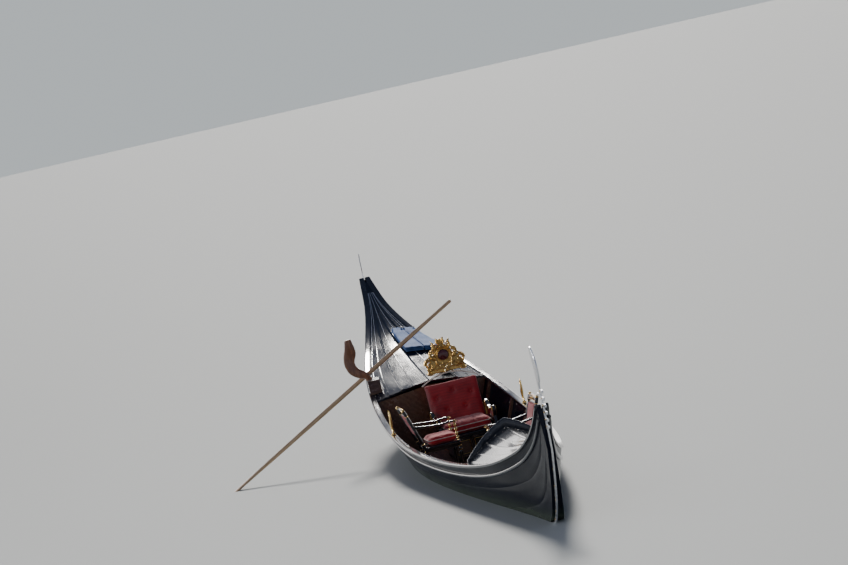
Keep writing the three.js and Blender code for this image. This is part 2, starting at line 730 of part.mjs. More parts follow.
function oarLoom() {
  const rows = oarRows([
    [-OAR.inboard, OAR.grip - 3, OAR.grip - 3],
    [-OAR.inboard + 20, OAR.grip, OAR.grip],
    [-OAR.inboard + 320, OAR.grip, OAR.grip],
    [-OAR.inboard / 2, OAR.radius, OAR.radius],
    [OAR.loom / 2, OAR.radius, OAR.radius],
    [OAR.loom, OAR.radius, OAR.radius - 4],
  ]);
  return sweep(rows, [1, 0, 0], 12);
}

function oarBlade() {
  const rows = oarRows([
    [OAR.loom + GAP, OAR.radius - 1, OAR.radius - 5],
    [OAR.loom + 260, OAR_BLADE.width * 0.33, OAR_BLADE.thick / 2 + 3],
    [OAR.loom + 620, OAR_BLADE.width / 2, OAR_BLADE.thick / 2],
    [OAR.loom + OAR_BLADE.length - 60, OAR_BLADE.width / 2, OAR_BLADE.thick / 2 - 3],
    [OAR.loom + OAR_BLADE.length, OAR_BLADE.width * 0.36, OAR_BLADE.thick / 2 - 6],
  ]);
  return sweep(rows, [1, 0, 0], 10);
}

// The stem's profile from the strap's foot up to the tip, as [x, z] with its outward direction.
function stemProfile(end, foot) {
  const line = placesBetween(foot, BOAT_HALF).map((x) => [x, hull(end * x).keel]);
  line.push([BOAT_HALF + NOSE.length, hull(end * BOAT_HALF).rim - NOSE.below]);
  return line.map(([x, z], i) => {
    const [x0, z0] = line[Math.max(i - 1, 0)];
    const [x1, z1] = line[Math.min(i + 1, line.length - 1)];
    const length = Math.hypot(x1 - x0, z1 - z0);
    return { x, z, outX: (z1 - z0) / length, outZ: -(x1 - x0) / length };
  });
}

function strapOutline(profile, end, near, far) {
  const inner = profile.map((p) => [end * (p.x + p.outX * near), p.z + p.outZ * near]);
  const outer = profile.map((p) => [end * (p.x + p.outX * far), p.z + p.outZ * far]);
  return [...inner, ...outer.reverse()];
}

// The hat-shaped blade above the bow, from the tip of the deck: forward, up.
const HAT = [
  [4, -30],
  [52, -30],
  [60, 60],
  [58, 150],
  [74, 215],
  [128, 250],
  [150, 330],
  [138, 420],
  [92, 478],
  [20, 530],
  [-34, 512],
  [-8, 420],
  [8, 330],
  [4, 200],
  [0, 100],
];

function bowIron() {
  const profile = stemProfile(1, BOW_IRON.foot);
  const strap = plate(strapOutline(profile, 1, STRAP_GAP, BOW_IRON.strap), BOW_IRON.thick);
  const tip = { x: BOAT_HALF + NOSE.length, z: hull(BOAT_HALF).rim };
  const hat = plate(HAT.map(([x, z]) => [tip.x + x, tip.z + z]), BOW_IRON.thick);
  const pieces = [strap, hat];
  for (let i = 0; i < 6; i++) {
    const z = tip.z + 150 - i * BOW_IRON.toothPitch;
    const drift = Math.max(0, i - 2) * 18;
    const x = tip.x + 40 + BOW_IRON.tooth / 2 - drift;
    pieces.push(box(x, 0, z, BOW_IRON.tooth, BOW_IRON.thick, BOW_IRON.toothHeight));
  }
  pieces.push(box(tip.x - 50, 0, tip.z + 110, 130, BOW_IRON.thick, BOW_IRON.toothHeight));
  return joined(pieces);
}

function sternIron() {
  const profile = stemProfile(-1, -STERN_IRON.foot);
  const strap = plate(strapOutline(profile, -1, STRAP_GAP, STERN_IRON.strap), STERN_IRON.thick);
  const tip = { x: -BOAT_HALF - NOSE.length, z: hull(-BOAT_HALF).rim };
  const spike = plate(
    [
      [tip.x - 6, tip.z - 40],
      [tip.x - 34, tip.z - 30],
      [tip.x - 44, tip.z + 90],
      [tip.x - 20, tip.z + 210],
      [tip.x + 18, tip.z + STERN_IRON.spike],
      [tip.x + 34, tip.z + STERN_IRON.spike - 10],
      [tip.x + 6, tip.z + 190],
      [tip.x - 10, tip.z + 90],
      [tip.x - 4, tip.z + 10],
    ],
    STERN_IRON.thick,
  );
  return joined([strap, spike]);
}

// The folded cover lies on the port slope of the stern deck, along its length.
function foldedCover() {
  const rise = [0.35, 1, 1, 1, 1, 1, 0.35];
  const shares = [0, 0.08, 0.3, 0.51, 0.7, 0.92, 1];
  return along(COVER.from, COVER.to, (h, x) => {
    const w = deckHalf(h);
    const end = x === COVER.from || x === COVER.to ? 0.45 : 1;
    const at = (k) => COVER.inner + (COVER.outer - COVER.inner) * shares[k];
    const low = shares.map((_, k) => [at(k) * w, deckTop(h, w, STERN_RIDGE, at(k)) + COVER.lift]);
    const high = low.map(([y, z], k) => [y, z + COVER.thick * rise[k] * end]);
    return [...low, ...high.reverse()].map(([y, z]) => [h.middle + y, z]);
  });
}

function footBoard() {
  const ends = [-1, 1].map((u) => hull(FOOT_BOARD.x + (u * FOOT_BOARD.length) / 2));
  const inboard = FOOT_BOARD.toPort - FOOT_BOARD.width / 2;
  const highest = Math.max(...ends.map((h) => deckTop(h, deckHalf(h), STERN_RIDGE, inboard / deckHalf(h))));
  const z = highest + DECK.battenRise + 2 + FOOT_BOARD.thick / 2;
  const y = hull(FOOT_BOARD.x).middle + FOOT_BOARD.toPort;
  return box(FOOT_BOARD.x, y, z, FOOT_BOARD.length, FOOT_BOARD.width, FOOT_BOARD.thick);
}

// A brass sea horse stands on each gunwale beside the guests: forward, up, half width, half depth.
const HORSE_ROWS = [
  [0, 0, 26, 20],
  [0, 14, 26, 20],
  [-6, 22, 12, 10],
  [-22, 60, 16, 12],
  [-14, 110, 22, 16],
  [10, 150, 20, 14],
  [22, 190, 14, 11],
  [14, 222, 16, 12],
  [38, 236, 10, 8],
  [58, 226, 6, 5],
];

function seaHorse(side) {
  const h = hull(HORSE.x);
  const y = h.middle + side * (h.half - HORSE.inboard);
  const low = h.rim + GUNWALE.height + HORSE.above;
  const rows = HORSE_ROWS.map(([forward, up, fore, thick]) => ({
    at: [HORSE.x + forward, y, low + up],
    wide: thick,
    deep: fore,
  }));
  return sweep(rows, [0, 1, 0], 8);
}

const boat = new THREE.Group();

function place(name, solid, material) {
  const mesh = new THREE.Mesh(geometryOf(solid), material);
  mesh.name = name;
  boat.add(mesh);
}

const SIDES = { starboard: -1, port: 1 };

place("bottom", bottomPlanks(), BLACK_LACQUER);
for (const [name, side] of Object.entries(SIDES)) {
  for (const [part, ends] of Object.entries(SIDE_PARTS)) {
    place(`side_${part}_${name}`, sidePlanks(side, ...ends), BLACK_LACQUER);
  }
  place("gunwale_" + name, gunwale(side), RIM_LACQUER);
  place("rub_rail_" + name, rubRail(side), RIM_LACQUER);
  place("sea_horse_" + name, seaHorse(side), BRASS);
  place("seat_arm_" + name, seatArm(side), INNER_WOOD);
  place("chair_frame_" + name, chairFrame(name, side), INNER_WOOD);
  place("chair_cushion_" + name, chairCushion(name, side), RED_CLOTH);
  place("chair_back_" + name, chairBack(name, side), RED_CLOTH);
}
place("stem_post", endPost(1), BLACK_LACQUER);
place("stern_post", endPost(-1), BLACK_LACQUER);
place("bow_deck", deck(BOW_DECK_AFT, DECK_END, BOW_RIDGE), DECK_LACQUER);
place("bow_coaming", coaming(), DECK_LACQUER);
place("stern_deck", deck(-DECK_END, STERN_DECK_FORE, STERN_RIDGE), DECK_LACQUER);
place("bow_bulkhead", bulkhead(BOW_DECK_AFT, 1, BOW_RIDGE, doorway), INNER_WOOD);
place("stern_bulkhead", bulkhead(STERN_DECK_FORE, -1, STERN_RIDGE, null), INNER_WOOD);
place("bow_locker_door", lockerDoor(), INNER_WOOD);
["stern", "middle", "bow"].forEach((name, i) => {
  place("floor_" + name, floorPanel(FLOOR.ends[i], FLOOR.ends[i + 1]), FLOOR_WOOD);
});
place("thwart_bow", thwart(THWART_X), INNER_WOOD);
place("seat_base", seatBase(), INNER_WOOD);
place(
  "seat_cushion",
  pad(SEAT.x, SEAT.y, seatLow + SEAT.base + 1, SEAT.depth - SEAT_PAD.short, SEAT_PAD.width, SEAT_PAD.height),
  RED_CLOTH,
);
place("seat_back", seatBack(), RED_CLOTH);
place("seat_crest", seatCrest(), GILT);
place("crutch_block", crutchBlock(), INNER_WOOD);
place("crutch", crutch(), WALNUT);
place("oar_loom", oarLoom(), PALE_WOOD);
place("oar_blade", oarBlade(), PALE_WOOD);
place("bow_iron", bowIron(), BRIGHT_IRON);
place("stern_iron", sternIron(), BRIGHT_IRON);
place("folded_cover", foldedCover(), BLUE_COVER);
place("foot_board", footBoard(), WALNUT);

export default boat;
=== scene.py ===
import math

import bpy
import numpy as np
from mathutils import Matrix, Vector


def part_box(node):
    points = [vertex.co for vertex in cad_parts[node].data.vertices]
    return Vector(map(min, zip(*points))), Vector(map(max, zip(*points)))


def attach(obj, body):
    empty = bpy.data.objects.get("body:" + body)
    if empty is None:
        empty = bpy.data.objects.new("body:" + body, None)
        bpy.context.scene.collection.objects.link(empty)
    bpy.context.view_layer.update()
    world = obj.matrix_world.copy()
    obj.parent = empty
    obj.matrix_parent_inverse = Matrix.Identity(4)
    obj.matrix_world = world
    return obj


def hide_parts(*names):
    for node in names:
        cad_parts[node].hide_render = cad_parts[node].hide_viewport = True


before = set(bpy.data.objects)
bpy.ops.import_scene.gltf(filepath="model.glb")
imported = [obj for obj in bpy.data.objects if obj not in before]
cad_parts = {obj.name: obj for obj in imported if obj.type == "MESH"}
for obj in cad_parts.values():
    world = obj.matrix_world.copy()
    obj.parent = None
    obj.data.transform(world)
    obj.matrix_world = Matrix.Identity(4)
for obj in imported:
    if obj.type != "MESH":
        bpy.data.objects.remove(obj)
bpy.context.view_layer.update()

# Camera
# The photograph is taken from ahead of the bow, a little above the boat's own height.
# The boat heels to starboard there, which the camera's roll carries.
CAMERA_AT = (31.3742, -4.3055, 4.2892)
YAW, PITCH, ROLL = map(math.radians, (172.2438, 4.2193, 12.9185))
ahead = Vector((math.cos(PITCH) * math.cos(YAW), math.cos(PITCH) * math.sin(YAW), -math.sin(PITCH)))
level = ahead.cross(Vector((0, 0, 1))).normalized()
down = ahead.cross(level)
right = math.cos(ROLL) * level + math.sin(ROLL) * down
below = math.cos(ROLL) * down - math.sin(ROLL) * level
camera = bpy.data.objects.new("camera", bpy.data.cameras.new("camera"))
bpy.context.scene.collection.objects.link(camera)
camera.data.sensor_width = 36
camera.data.lens = 134.03
camera.data.clip_end = 400
camera.matrix_world = Matrix.Translation(CAMERA_AT) @ Matrix((right, -below, -ahead)).transposed().to_4x4()
bpy.context.scene.camera = camera


# Light and sky
# A broad sun stands astern, as in the photograph, with a sky that is pale low down astern and dim
# overhead. A lamp abeam gives the rim its bright line, and one ahead lifts the shadows.
def rgba(colour):
    return (*([colour] * 3 if isinstance(colour, (int, float)) else colour), 1)


def node(tree, kind, inputs=None, **settings):
    """A node of that kind; inputs maps its sockets to numbers, colours or other nodes' outputs."""
    made = tree.nodes.new(kind)
    for key, value in settings.items():
        setattr(made, key, value)
    for key, value in (inputs or {}).items():
        if isinstance(value, bpy.types.NodeSocket):
            tree.links.new(value, made.inputs[key])
        else:
            made.inputs[key].default_value = value
    return made


def ramp(tree, fac, stops, smooth=False):
    """A colour ramp over (place, grey) stops."""
    made = node(tree, "ShaderNodeValToRGB", {"Fac": fac})
    made.color_ramp.interpolation = "EASE" if smooth else "LINEAR"
    parts = made.color_ramp.elements
    while len(parts) < len(stops):
        parts.new(0.5)
    for part, (place, grey) in zip(parts, stops):
        part.position = place
        part.color = rgba(grey)
    return made.outputs["Color"]


def mix(tree, fac, a, b):
    """The colour a (1 - fac) + b fac."""
    inputs = {0: fac}
    for key, value in ((6, a), (7, b)):
        inputs[key] = value if isinstance(value, bpy.types.NodeSocket) else rgba(value)
    return node(tree, "ShaderNodeMix", inputs, data_type="RGBA").outputs[2]


def maths(tree, kind, a, b=0.0):
    return node(tree, "ShaderNodeMath", {0: a, 1: b}, operation=kind).outputs[0]


def between(tree, value, low, high, start=0.0, end=1.0):
    """The value's share of the way from low to high, spread from start to end and clamped."""
    inputs = {"Value": value, "From Min": low, "From Max": high, "To Min": start, "To Max": end}
    return node(tree, "ShaderNodeMapRange", inputs).outputs[0]


def lamp(name, kind, at, aim, power, colour=(1, 1, 1), **settings):
    """A lamp at one point aimed at another, not seen by the camera."""
    made = bpy.data.lights.new(name, kind)
    made.energy = power
    made.color = colour
    for key, value in settings.items():
        setattr(made, key, value)
    thing = bpy.data.objects.new(name, made)
    thing.location = at
    thing.rotation_euler = (Vector(aim) - Vector(at)).to_track_quat("-Z", "Y").to_euler()
    thing.visible_camera = False
    bpy.context.scene.collection.objects.link(thing)
    return thing


PANEL = {"shape": "RECTANGLE", "size_y": 5}
DIM_SKY, BACKDROP = (0.09, 0.12, 0.2), (0.52, 0.56, 0.58)
PALE_BAND, PALE_BAND_MIRRORED = (2.6, 2.5, 2.4), (3.2, 3.1, 3.0)
lamp("sun", "SUN", (-40, 7, 29), (0, 0, 0), 3.6, (1, 0.96, 0.9), angle=0.2)
abeam = lamp("side", "AREA", (-1.7, -12, 7.5), (-4.5, 0, 1.3), 2600, (0.95, 0.97, 1), size=6, **PANEL)
abeam.visible_diffuse = False
in_front = lamp("front", "AREA", (18, -14, 9), (0, 0, 0.5), 700, (1, 0.97, 0.93), size=7, **PANEL)
in_front.visible_glossy = False
world = bpy.data.worlds.new("world")
world.use_nodes = True
sky = world.node_tree
direction = node(sky, "ShaderNodeTexCoord").outputs["Generated"]
parts = node(sky, "ShaderNodeSeparateXYZ", {0: direction}).outputs
lowness = ramp(sky, parts["Z"], [(0.0, 1), (0.12, 0.75), (0.42, 0.0)], True)
behind = ramp(sky, between(sky, parts["X"], 1.0, -1.0), [(0.45, 0.12), (0.95, 1)], True)
rays = node(sky, "ShaderNodeLightPath").outputs
band = mix(sky, rays["Is Glossy Ray"], PALE_BAND, PALE_BAND_MIRRORED)
lit = mix(sky, maths(sky, "MULTIPLY", lowness, behind), DIM_SKY, band)
seen = mix(sky, rays["Is Camera Ray"], lit, BACKDROP)
sky.links.new(seen, sky.nodes["Background"].inputs["Color"])
bpy.context.scene.world = world

# Planking
# Each side is a skin of three lacquered strakes with fine seams, bent round varnished ribs and
# fixed to the flat bottom. The hull's sections run from stern to bow: place, half breadths at rim
# and bottom, heights of rim and keel, in millimetres.
STATIONS = np.array([
    [-5200, 44, 32, 1759, 1430], [-4800, 124, 62, 1429, 905], [-4200, 299, 150, 1098, 410],
    [-3400, 491, 262, 858, 110], [-2400, 632, 368, 647, -85], [-1200, 708, 434, 455, -195],
    [0, 699, 436, 354, -230], [1200, 607, 366, 327, -230], [2400, 467, 262, 361, -200],
    [3400, 321, 164, 456, -150], [4200, 168, 86, 617, -90], [4600, 100, 58, 759, 45],
    [4900, 64, 44, 904, 305], [5200, 44, 32, 1081, 715],
]) / 1000
BOAT_HALF = 5.2
MIDDLE_TO_PORT = 0.115
PLANK = 0.02
SIDES = {"starboard": -1, "port": 1}
SEAMS = [0.37, 0.7]
RIBS = {"width": 0.034, "depth": 0.03, "places": [-2.13, -1.25, -0.56, 0.06, 0.76, 1.42, 2.08]}


def hull(x):
    """The hull at x: cubic Hermite curves through the stations, whose slopes join the stations beside.

    The middle line is MIDDLE_TO_PORT (1 - (x / BOAT_HALF)^2).
    """
    x = np.clip(np.asarray(x, float), -BOAT_HALF, BOAT_HALF)
    at = STATIONS[:, 0]
    last = len(at) - 1
    i = np.clip(np.searchsorted(at, x, "right") - 1, 0, last - 1)
    before, after = np.maximum(np.arange(last + 1) - 1, 0), np.minimum(np.arange(last + 1) + 1, last)
    slope = (STATIONS[after] - STATIONS[before]) / (at[after] - at[before])[:, None]
    span = (at[i + 1] - at[i])[..., None]
    t = (x - at[i])[..., None] / span
    value = (
        STATIONS[i] * (2 * t**3 - 3 * t**2 + 1) + slope[i] * span * (t**3 - 2 * t**2 + t)
        + STATIONS[i + 1] * (3 * t**2 - 2 * t**3) + slope[i + 1] * span * (t**3 - t**2)
    )
    names = ("half", "foot", "rim", "keel")
    found = {name: value[..., k + 1] for k, name in enumerate(names)}
    found["middle"] = MIDDLE_TO_PORT * (1 - (x / BOAT_HALF) ** 2)
    return found


def outer_half(h, z):
    """Half breadth of the planking's outer face at height z: straight from the bottom to the rim."""
    return h["foot"] + (h["half"] - h["foot"]) * (z - h["keel"]) / (h["rim"] - h["keel"])


def along(start, end, outline, step=0.08):
    """Rows of a long piece: outline(h) gives (y from the middle line, z) pairs at every x."""
    xs = np.linspace(start, end, max(2, int(abs(end - start) / step) + 1))
    h = hull(xs)
    return np.stack([np.stack([xs, h["middle"] + y + 0 * xs, z + 0 * xs], 1) for y, z in outline(h)], 1)


class Shape:
    """Gathers grid surfaces into one mesh; its map holds each point's length and girth in metres."""

    def __init__(self):
        self.points, self.faces, self.maps, self.paints, self.count = [], [], [], [], 0

    def grid(self, rows, ring=True, caps="fan", paint=0):
        """Joins P[i, j], P[i, j + 1], P[i + 1, j + 1] and P[i + 1, j], and turns the faces outwards.

        ring joins the last column to the first. The end rows are closed by a fan round their
        middle, by one flat face, or not at all.
        """
        P = np.asarray(rows, float)
        n, m = P.shape[:2]
        r, c = np.divmod(np.arange((n - 1) * (m if ring else m - 1)), m if ring else m - 1)
        across, around = np.stack([r, r, r + 1, r + 1], 1), np.stack([c, c + 1, c + 1, c], 1)
        length = np.append(0, np.cumsum(np.linalg.norm(np.diff(P, axis=0), axis=2).mean(1)))
        closed = np.concatenate([P, P[:, :1]], 1)
        girth = np.append(0, np.cumsum(np.linalg.norm(np.diff(closed, axis=1), axis=2).max(0)))
        faces, maps = [across * m + around % m], [np.stack([length[across], girth[around]], 2)]
        flat = P.reshape(-1, 3)
        j = np.arange(m)
        if caps == "fan":
            flat = np.concatenate([flat, [P[0].mean(0), P[-1].mean(0)]])
        for end, way in ((0, -1), (n - 1, 1)) if caps else ():
            if caps == "fan":
                tip = np.full(m, n * m + (end > 0))
                corners = np.stack([end * m + j, end * m + (j + 1) % m, tip], 1)[:, ::way]
                spots = np.stack([girth[j], girth[j + 1], 0 * girth[j]], 1)[:, ::way]
            else:
                corners, spots = (end * m + j)[None, ::way], girth[j][None, ::way]
            faces.append(corners)
            maps.append(np.stack([0 * spots + length[end], spots], 2))
        if caps and self.volume(flat - flat.mean(0), faces) < 0:
            faces, maps = ([block[:, ::-1] for block in blocks] for blocks in (faces, maps))
        self.points.append(flat)
        self.maps += [block.ravel() for block in maps]
        for block in faces:
            self.faces += (block + self.count).tolist()
            self.paints += [paint] * len(block)
        self.count += len(flat)
        return self

    @staticmethod
    def volume(points, faces):
        """Six times the volume: the sum of A . (B x C) over each face's fan of triangles."""
        fans = [(points[block[:, :1]], points[block[:, 1:-1]], points[block[:, 2:]]) for block in faces]
        return sum((a * np.cross(b, c)).sum() for a, b, c in fans)

    def make(self, name, paints, body="hull", stands_for=(), slot=None, angle=38):
        mesh = bpy.data.meshes.new(name)
        mesh.from_pydata(np.concatenate(self.points).tolist(), [], self.faces)
        layer = mesh.uv_layers.new(name="length_girth")
        layer.data.foreach_set("uv", np.concatenate(self.maps))
        for paint in paints:
            mesh.materials.append(paint)
        mesh.polygons.foreach_set("material_index", self.paints)
        mesh.polygons.foreach_set("use_smooth", [True] * len(mesh.polygons))
        mesh.set_sharp_from_angle(angle=math.radians(angle))
        piece = bpy.data.objects.new(name, mesh)
        bpy.context.scene.collection.objects.link(piece)
        return settle(piece, body, stands_for)


def settle(piece, body, stands_for=()):
    """Fixes the piece to its body, in place of the CAD nodes that it stands for."""
    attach(piece, body)
    if stands_for:
        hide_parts(*stands_for)
    return piece


def effect(name, inputs, outputs):
    """An empty node group: its tree, the outputs of its start and the inputs of its end.

    A socket whose name ends in colour is a colour, Where and Stretch are vectors, the rest numbers.
    """
    group = bpy.data.node_groups.new(name, "ShaderNodeTree")
    for way, sockets in (("INPUT", inputs), ("OUTPUT", outputs)):
        for socket in sockets:
            kind = "Vector" if socket in ("Where", "Stretch") else "Color" if "colour" in socket else "Float"
            group.interface.new_socket(socket, in_out=way, socket_type="NodeSocket" + kind)
    return group, group.nodes.new("NodeGroupInput").outputs, group.nodes.new("NodeGroupOutput").inputs


def noise(tree, where, scale, detail=4, roughness=0.55, stretch=(1, 1, 1)):
    """Noise over the coordinates `where`, stretched along each axis."""
    placed = node(tree, "ShaderNodeMapping", {"Vector": where, "Scale": stretch})
    inputs = {"Vector": placed.outputs[0], "Scale": scale, "Detail": detail, "Roughness": roughness}
    return node(tree, "ShaderNodeTexNoise", inputs).outputs["Fac"]


def material(name, group=None, values=None, kind="Object", **sockets):
    """A material with the Principled shader's own sockets set and the effect placed on it."""
    made = bpy.data.materials.new(name)
    made.use_nodes = True
    tree = made.node_tree
    shader = tree.nodes["Principled BSDF"]
    for key, value in sockets.items():
        shader.inputs[key.replace("_", " ").title().replace("Ior", "IOR")].default_value = value
    if group:
        where = node(tree, "ShaderNodeTexCoord").outputs[kind]
        found = node(tree, "ShaderNodeGroup", {}, node_tree=group)
        tree.links.new(where, found.inputs["Where"])
        for key, value in values.items():
            colour = "colour" in key
            found.inputs[key].default_value = rgba(value) if colour else value
        tree.links.new(found.outputs["Base colour"], shader.inputs["Base Color"])
        if "Gloss" in found.outputs:
            tree.links.new(found.outputs["Gloss"], shader.inputs["Roughness"])
    return made


def relief(made, strength, distance, height="Height", normal=None):
    """Bumps the material's surface by its effect's height, over an earlier bump if there is one."""
    tree = made.node_tree
    found = next(n for n in tree.nodes if n.type == "GROUP")
    inputs = {"Height": found.outputs[height], "Strength": strength, "Distance": distance}
    if normal:
        inputs["Normal"] = normal
    bump = node(tree, "ShaderNodeBump", inputs).outputs[0]
    tree.links.new(bump, tree.nodes["Principled BSDF"].inputs["Normal"])
    return bump


def brushed_lacquer():
    """Slow tone changes, long brush streaks, patches rubbed dull, and the waves of hand brushing."""
    group, given, found = effect(
        "brushed_lacquer", ("Where", "Deep colour", "Lift colour", "Streak colour", "Shine", "Dull"),
        ("Base colour", "Gloss", "Height"),
    )
    where = given["Where"]
    fine = noise(group, where, 38, 5, 0.6, (0.12, 1, 1))
    colour = mix(group, noise(group, where, 1.3, 3), given["Deep colour"], given["Lift colour"])
    streaks = ramp(group, fine, [(0.55, 0), (0.8, 0.5)])
    group.links.new(mix(group, streaks, colour, given["Streak colour"]), found["Base colour"])
    patches = noise(group, where, 4.5, 6, 0.65, (0.35, 1, 1))
    group.links.new(between(group, patches, 0.3, 0.75, given["Shine"], given["Dull"]), found["Gloss"])
    broad = noise(group, where, 2.4, 2, 0.5, (0.4, 1, 1))
    group.links.new(maths(group, "ADD", broad, maths(group, "MULTIPLY", fine, 0.05)), found["Height"])
    return group


LACQUER = brushed_lacquer()


def lacquer(name, deep, lift, gloss, coat):
    """Black or coloured lacquer; gloss gives its roughness where it shines and where it is rubbed."""
    values = {"Deep colour": deep, "Lift colour": lift, "Streak colour": tuple(2.5 * c + 0.004 for c in lift)}
    values.update(Shine=gloss[0], Dull=gloss[1])
    made = material(name, LACQUER, values, roughness=0.2, coat_weight=coat, coat_roughness=0.06)
    relief(made, 0.35, 0.012)
    return made


def weed_line(made):
    """A band of weed and salt from the water's level up, with an edge that wanders by 9 cm of noise."""
    tree = made.node_tree
    shader = tree.nodes["Principled BSDF"]
    where = node(tree, "ShaderNodeTexCoord").outputs["Object"]
    height = node(tree, "ShaderNodeSeparateXYZ", {0: where}).outputs["Z"]
    wet = noise(tree, where, 9, 5, 0.6, (0.5, 1, 2.2))
    edge = maths(tree, "ADD", height, maths(tree, "MULTIPLY", wet, -0.09))
    band = ramp(tree, edge, [(0.0, 0.9), (0.045, 0.35), (0.12, 0.0)], True)
    base = shader.inputs["Base Color"]
    tree.links.new(mix(tree, band, base.links[0].from_socket, (0.055, 0.075, 0.05)), base)


HULL_BLACK = lacquer("hull_black", (0.003, 0.004, 0.009), (0.008, 0.01, 0.022), (0.14, 0.3), 0.0)
HULL_BLACK.node_tree.nodes["Principled BSDF"].inputs["IOR"].default_value = 1.12
weed_line(HULL_BLACK)


def wood_grain():
    """Long grain with year rings, slow tone changes, dark pores and pale rubbed patches."""
    group, given, found = effect(
        "wood_grain",
        ("Where", "Stretch", "Dark colour", "Light colour", "Ring colour", "Warm colour", "Pore colour",
         "Worn colour", "Scale", "Wear", "Shine", "Dull"),
        ("Base colour", "Gloss", "Height"),
    )
    where, stretch, scale = given["Where"], given["Stretch"], given["Scale"]
    grain = noise(group, where, scale, 6, 0.62, stretch)
    inputs = {
        "Vector": node(group, "ShaderNodeMapping", {"Vector": where, "Scale": stretch}).outputs[0],
        "Scale": maths(group, "MULTIPLY", scale, 0.35), "Distortion": 6.0, "Detail": 3, "Detail Scale": 1.2,
    }
    rings = node(group, "ShaderNodeTexWave", inputs, bands_direction="DIAGONAL").outputs["Fac"]
    finer = maths(group, "MULTIPLY", scale, 7.0)
    pores = ramp(group, noise(group, where, finer, 2, 0.5, stretch), [(0.58, 0), (0.66, 1)])
    rubbed = ramp(group, noise(group, where, 11, 5, 0.7), [(0.6, 0), (0.74, 1)])
    colour = mix(group, ramp(group, grain, [(0.3, 0), (0.7, 1)]), given["Dark colour"], given["Light colour"])
    slow = noise(group, where, 2.2, 2)
    for share, amount, tone in ((rings, 0.35, "Ring"), (slow, 0.3, "Warm"), (pores, 0.45, "Pore"),
                                (rubbed, given["Wear"], "Worn")):
        colour = mix(group, maths(group, "MULTIPLY", share, amount), colour, given[tone + " colour"])
    group.links.new(colour, found["Base colour"])
    group.links.new(between(group, rubbed, 0.0, 1.0, given["Shine"], given["Dull"]), found["Gloss"])
    sunk = maths(group, "MULTIPLY", pores, -0.6)
    group.links.new(maths(group, "ADD", grain, sunk), found["Height"])
    return group


GRAIN = wood_grain()


def wood(name, dark, light, stretch, scale=26, gloss=(0.25, 0.45), coat=0.3, kind="Object", wear=0.25):
    """Varnished wood whose grain runs along the axis that is stretched least."""
    values = {
        "Stretch": stretch, "Dark colour": dark, "Light colour": light, "Scale": scale, "Wear": wear,
        "Ring colour": tuple(c * 0.55 for c in dark), "Warm colour": tuple(min(1, c * 1.5) for c in light),
        "Pore colour": tuple(c * 0.35 for c in dark), "Shine": gloss[0], "Dull": gloss[1],
        "Worn colour": tuple(min(1, c * 1.9 + 0.04) for c in light),
    }
    made = material(name, GRAIN, values, kind, roughness=0.35, coat_weight=coat, coat_roughness=0.15)
    relief(made, 0.25, 0.0012)
    return made


INNER_WOOD = wood("inner_wood", (0.045, 0.022, 0.014), (0.13, 0.07, 0.045), (0.06, 1, 1), wear=0.35)


def planks(h, side):
    """Round the skin: down its outer face, sunk 1.8 mm at each seam, and back up its inner face."""
    shares = [0, 0.06, 0.12, 0.2, 0.28, 0.46, 0.55, 0.62, 0.8, 0.9, 1]
    shares = sorted(shares + [seam + d for seam in SEAMS for d in (-0.006, 0, 0.006)])
    outer = [(share, 0.0018 * (share in SEAMS)) for share in shares]
    inner = [(k / 5, PLANK) for k in range(5, -1, -1)]
    ring = []
    for share, sunk in outer + inner:
        z = h["rim"] - share * (h["rim"] - h["keel"])
        ring.append((side * (outer_half(h, z) - sunk), z))
    return ring


def rib(h, side):
    """A rib's section: 4 mm into the skin, RIBS depth inwards, with one eased corner at the top."""
    bottom, top = h["keel"] + 0.106, h["rim"] - 0.002
    inner = PLANK + RIBS["depth"]
    ends = ((bottom, PLANK - 0.004), (top, PLANK - 0.004), (top, inner - 0.004))
    ring = [(side * (outer_half(h, z) - depth), z) for z, depth in ends]
    ring.append((side * (outer_half(h, top) - inner), top - 0.004))
    return ring + [(side * (outer_half(h, bottom) - inner), bottom)]


for name, side in SIDES.items():
    shape = Shape().grid(along(-BOAT_HALF, BOAT_HALF, lambda h: planks(h, side)))
    for x in RIBS["places"]:
        reach = RIBS["width"] / 2
        shape.grid(along(x - reach, x + reach, lambda h: rib(h, side), 0.01), paint=1)
    sides = (f"side_aft_{name}", f"side_fore_{name}")
    shape.make("planking_" + name, [HULL_BLACK, INNER_WOOD], stands_for=sides, slot="hull_lacquer")

# Water
# The stage's plain pale floor lies at the water's level, so it is open inside the hull: its inner
# edge follows the middle of the planking at z = 0, where the bottom is below the water.
FLOOR_REACH = 350
BOTTOM_WET = -0.012
floor_paint = material("floor", base_color=(0.33, 0.355, 0.35, 1), roughness=0.7)
places = np.linspace(-BOAT_HALF, BOAT_HALF, 4001)
wet = places[hull(places)["keel"] < BOTTOM_WET]
lengthwise = np.linspace(wet[0], wet[-1], 90)
h = hull(lengthwise)
inner = outer_half(h, 0.0) - PLANK / 2
opening = [np.c_[lengthwise, h["middle"] - inner], np.c_[lengthwise, h["middle"] + inner][::-1]]
angles = np.concatenate([np.linspace(-np.pi, 0, 91)[:-1], np.linspace(0, np.pi, 91)[:-1]])
edges = np.concatenate(opening + [FLOOR_REACH * np.c_[np.cos(angles), np.sin(angles)]])
k = np.arange(len(angles))
after = (k + 1) % len(angles)
floor_mesh = bpy.data.meshes.new("floor")
floor_faces = np.stack([k, len(k) + k, len(k) + after, after], 1)
floor_mesh.from_pydata(np.c_[edges, np.zeros(len(edges))].tolist(), [], floor_faces.tolist())
floor_mesh.materials.append(floor_paint)
floor = bpy.data.objects.new("floor", floor_mesh)
bpy.context.scene.collection.objects.link(floor)

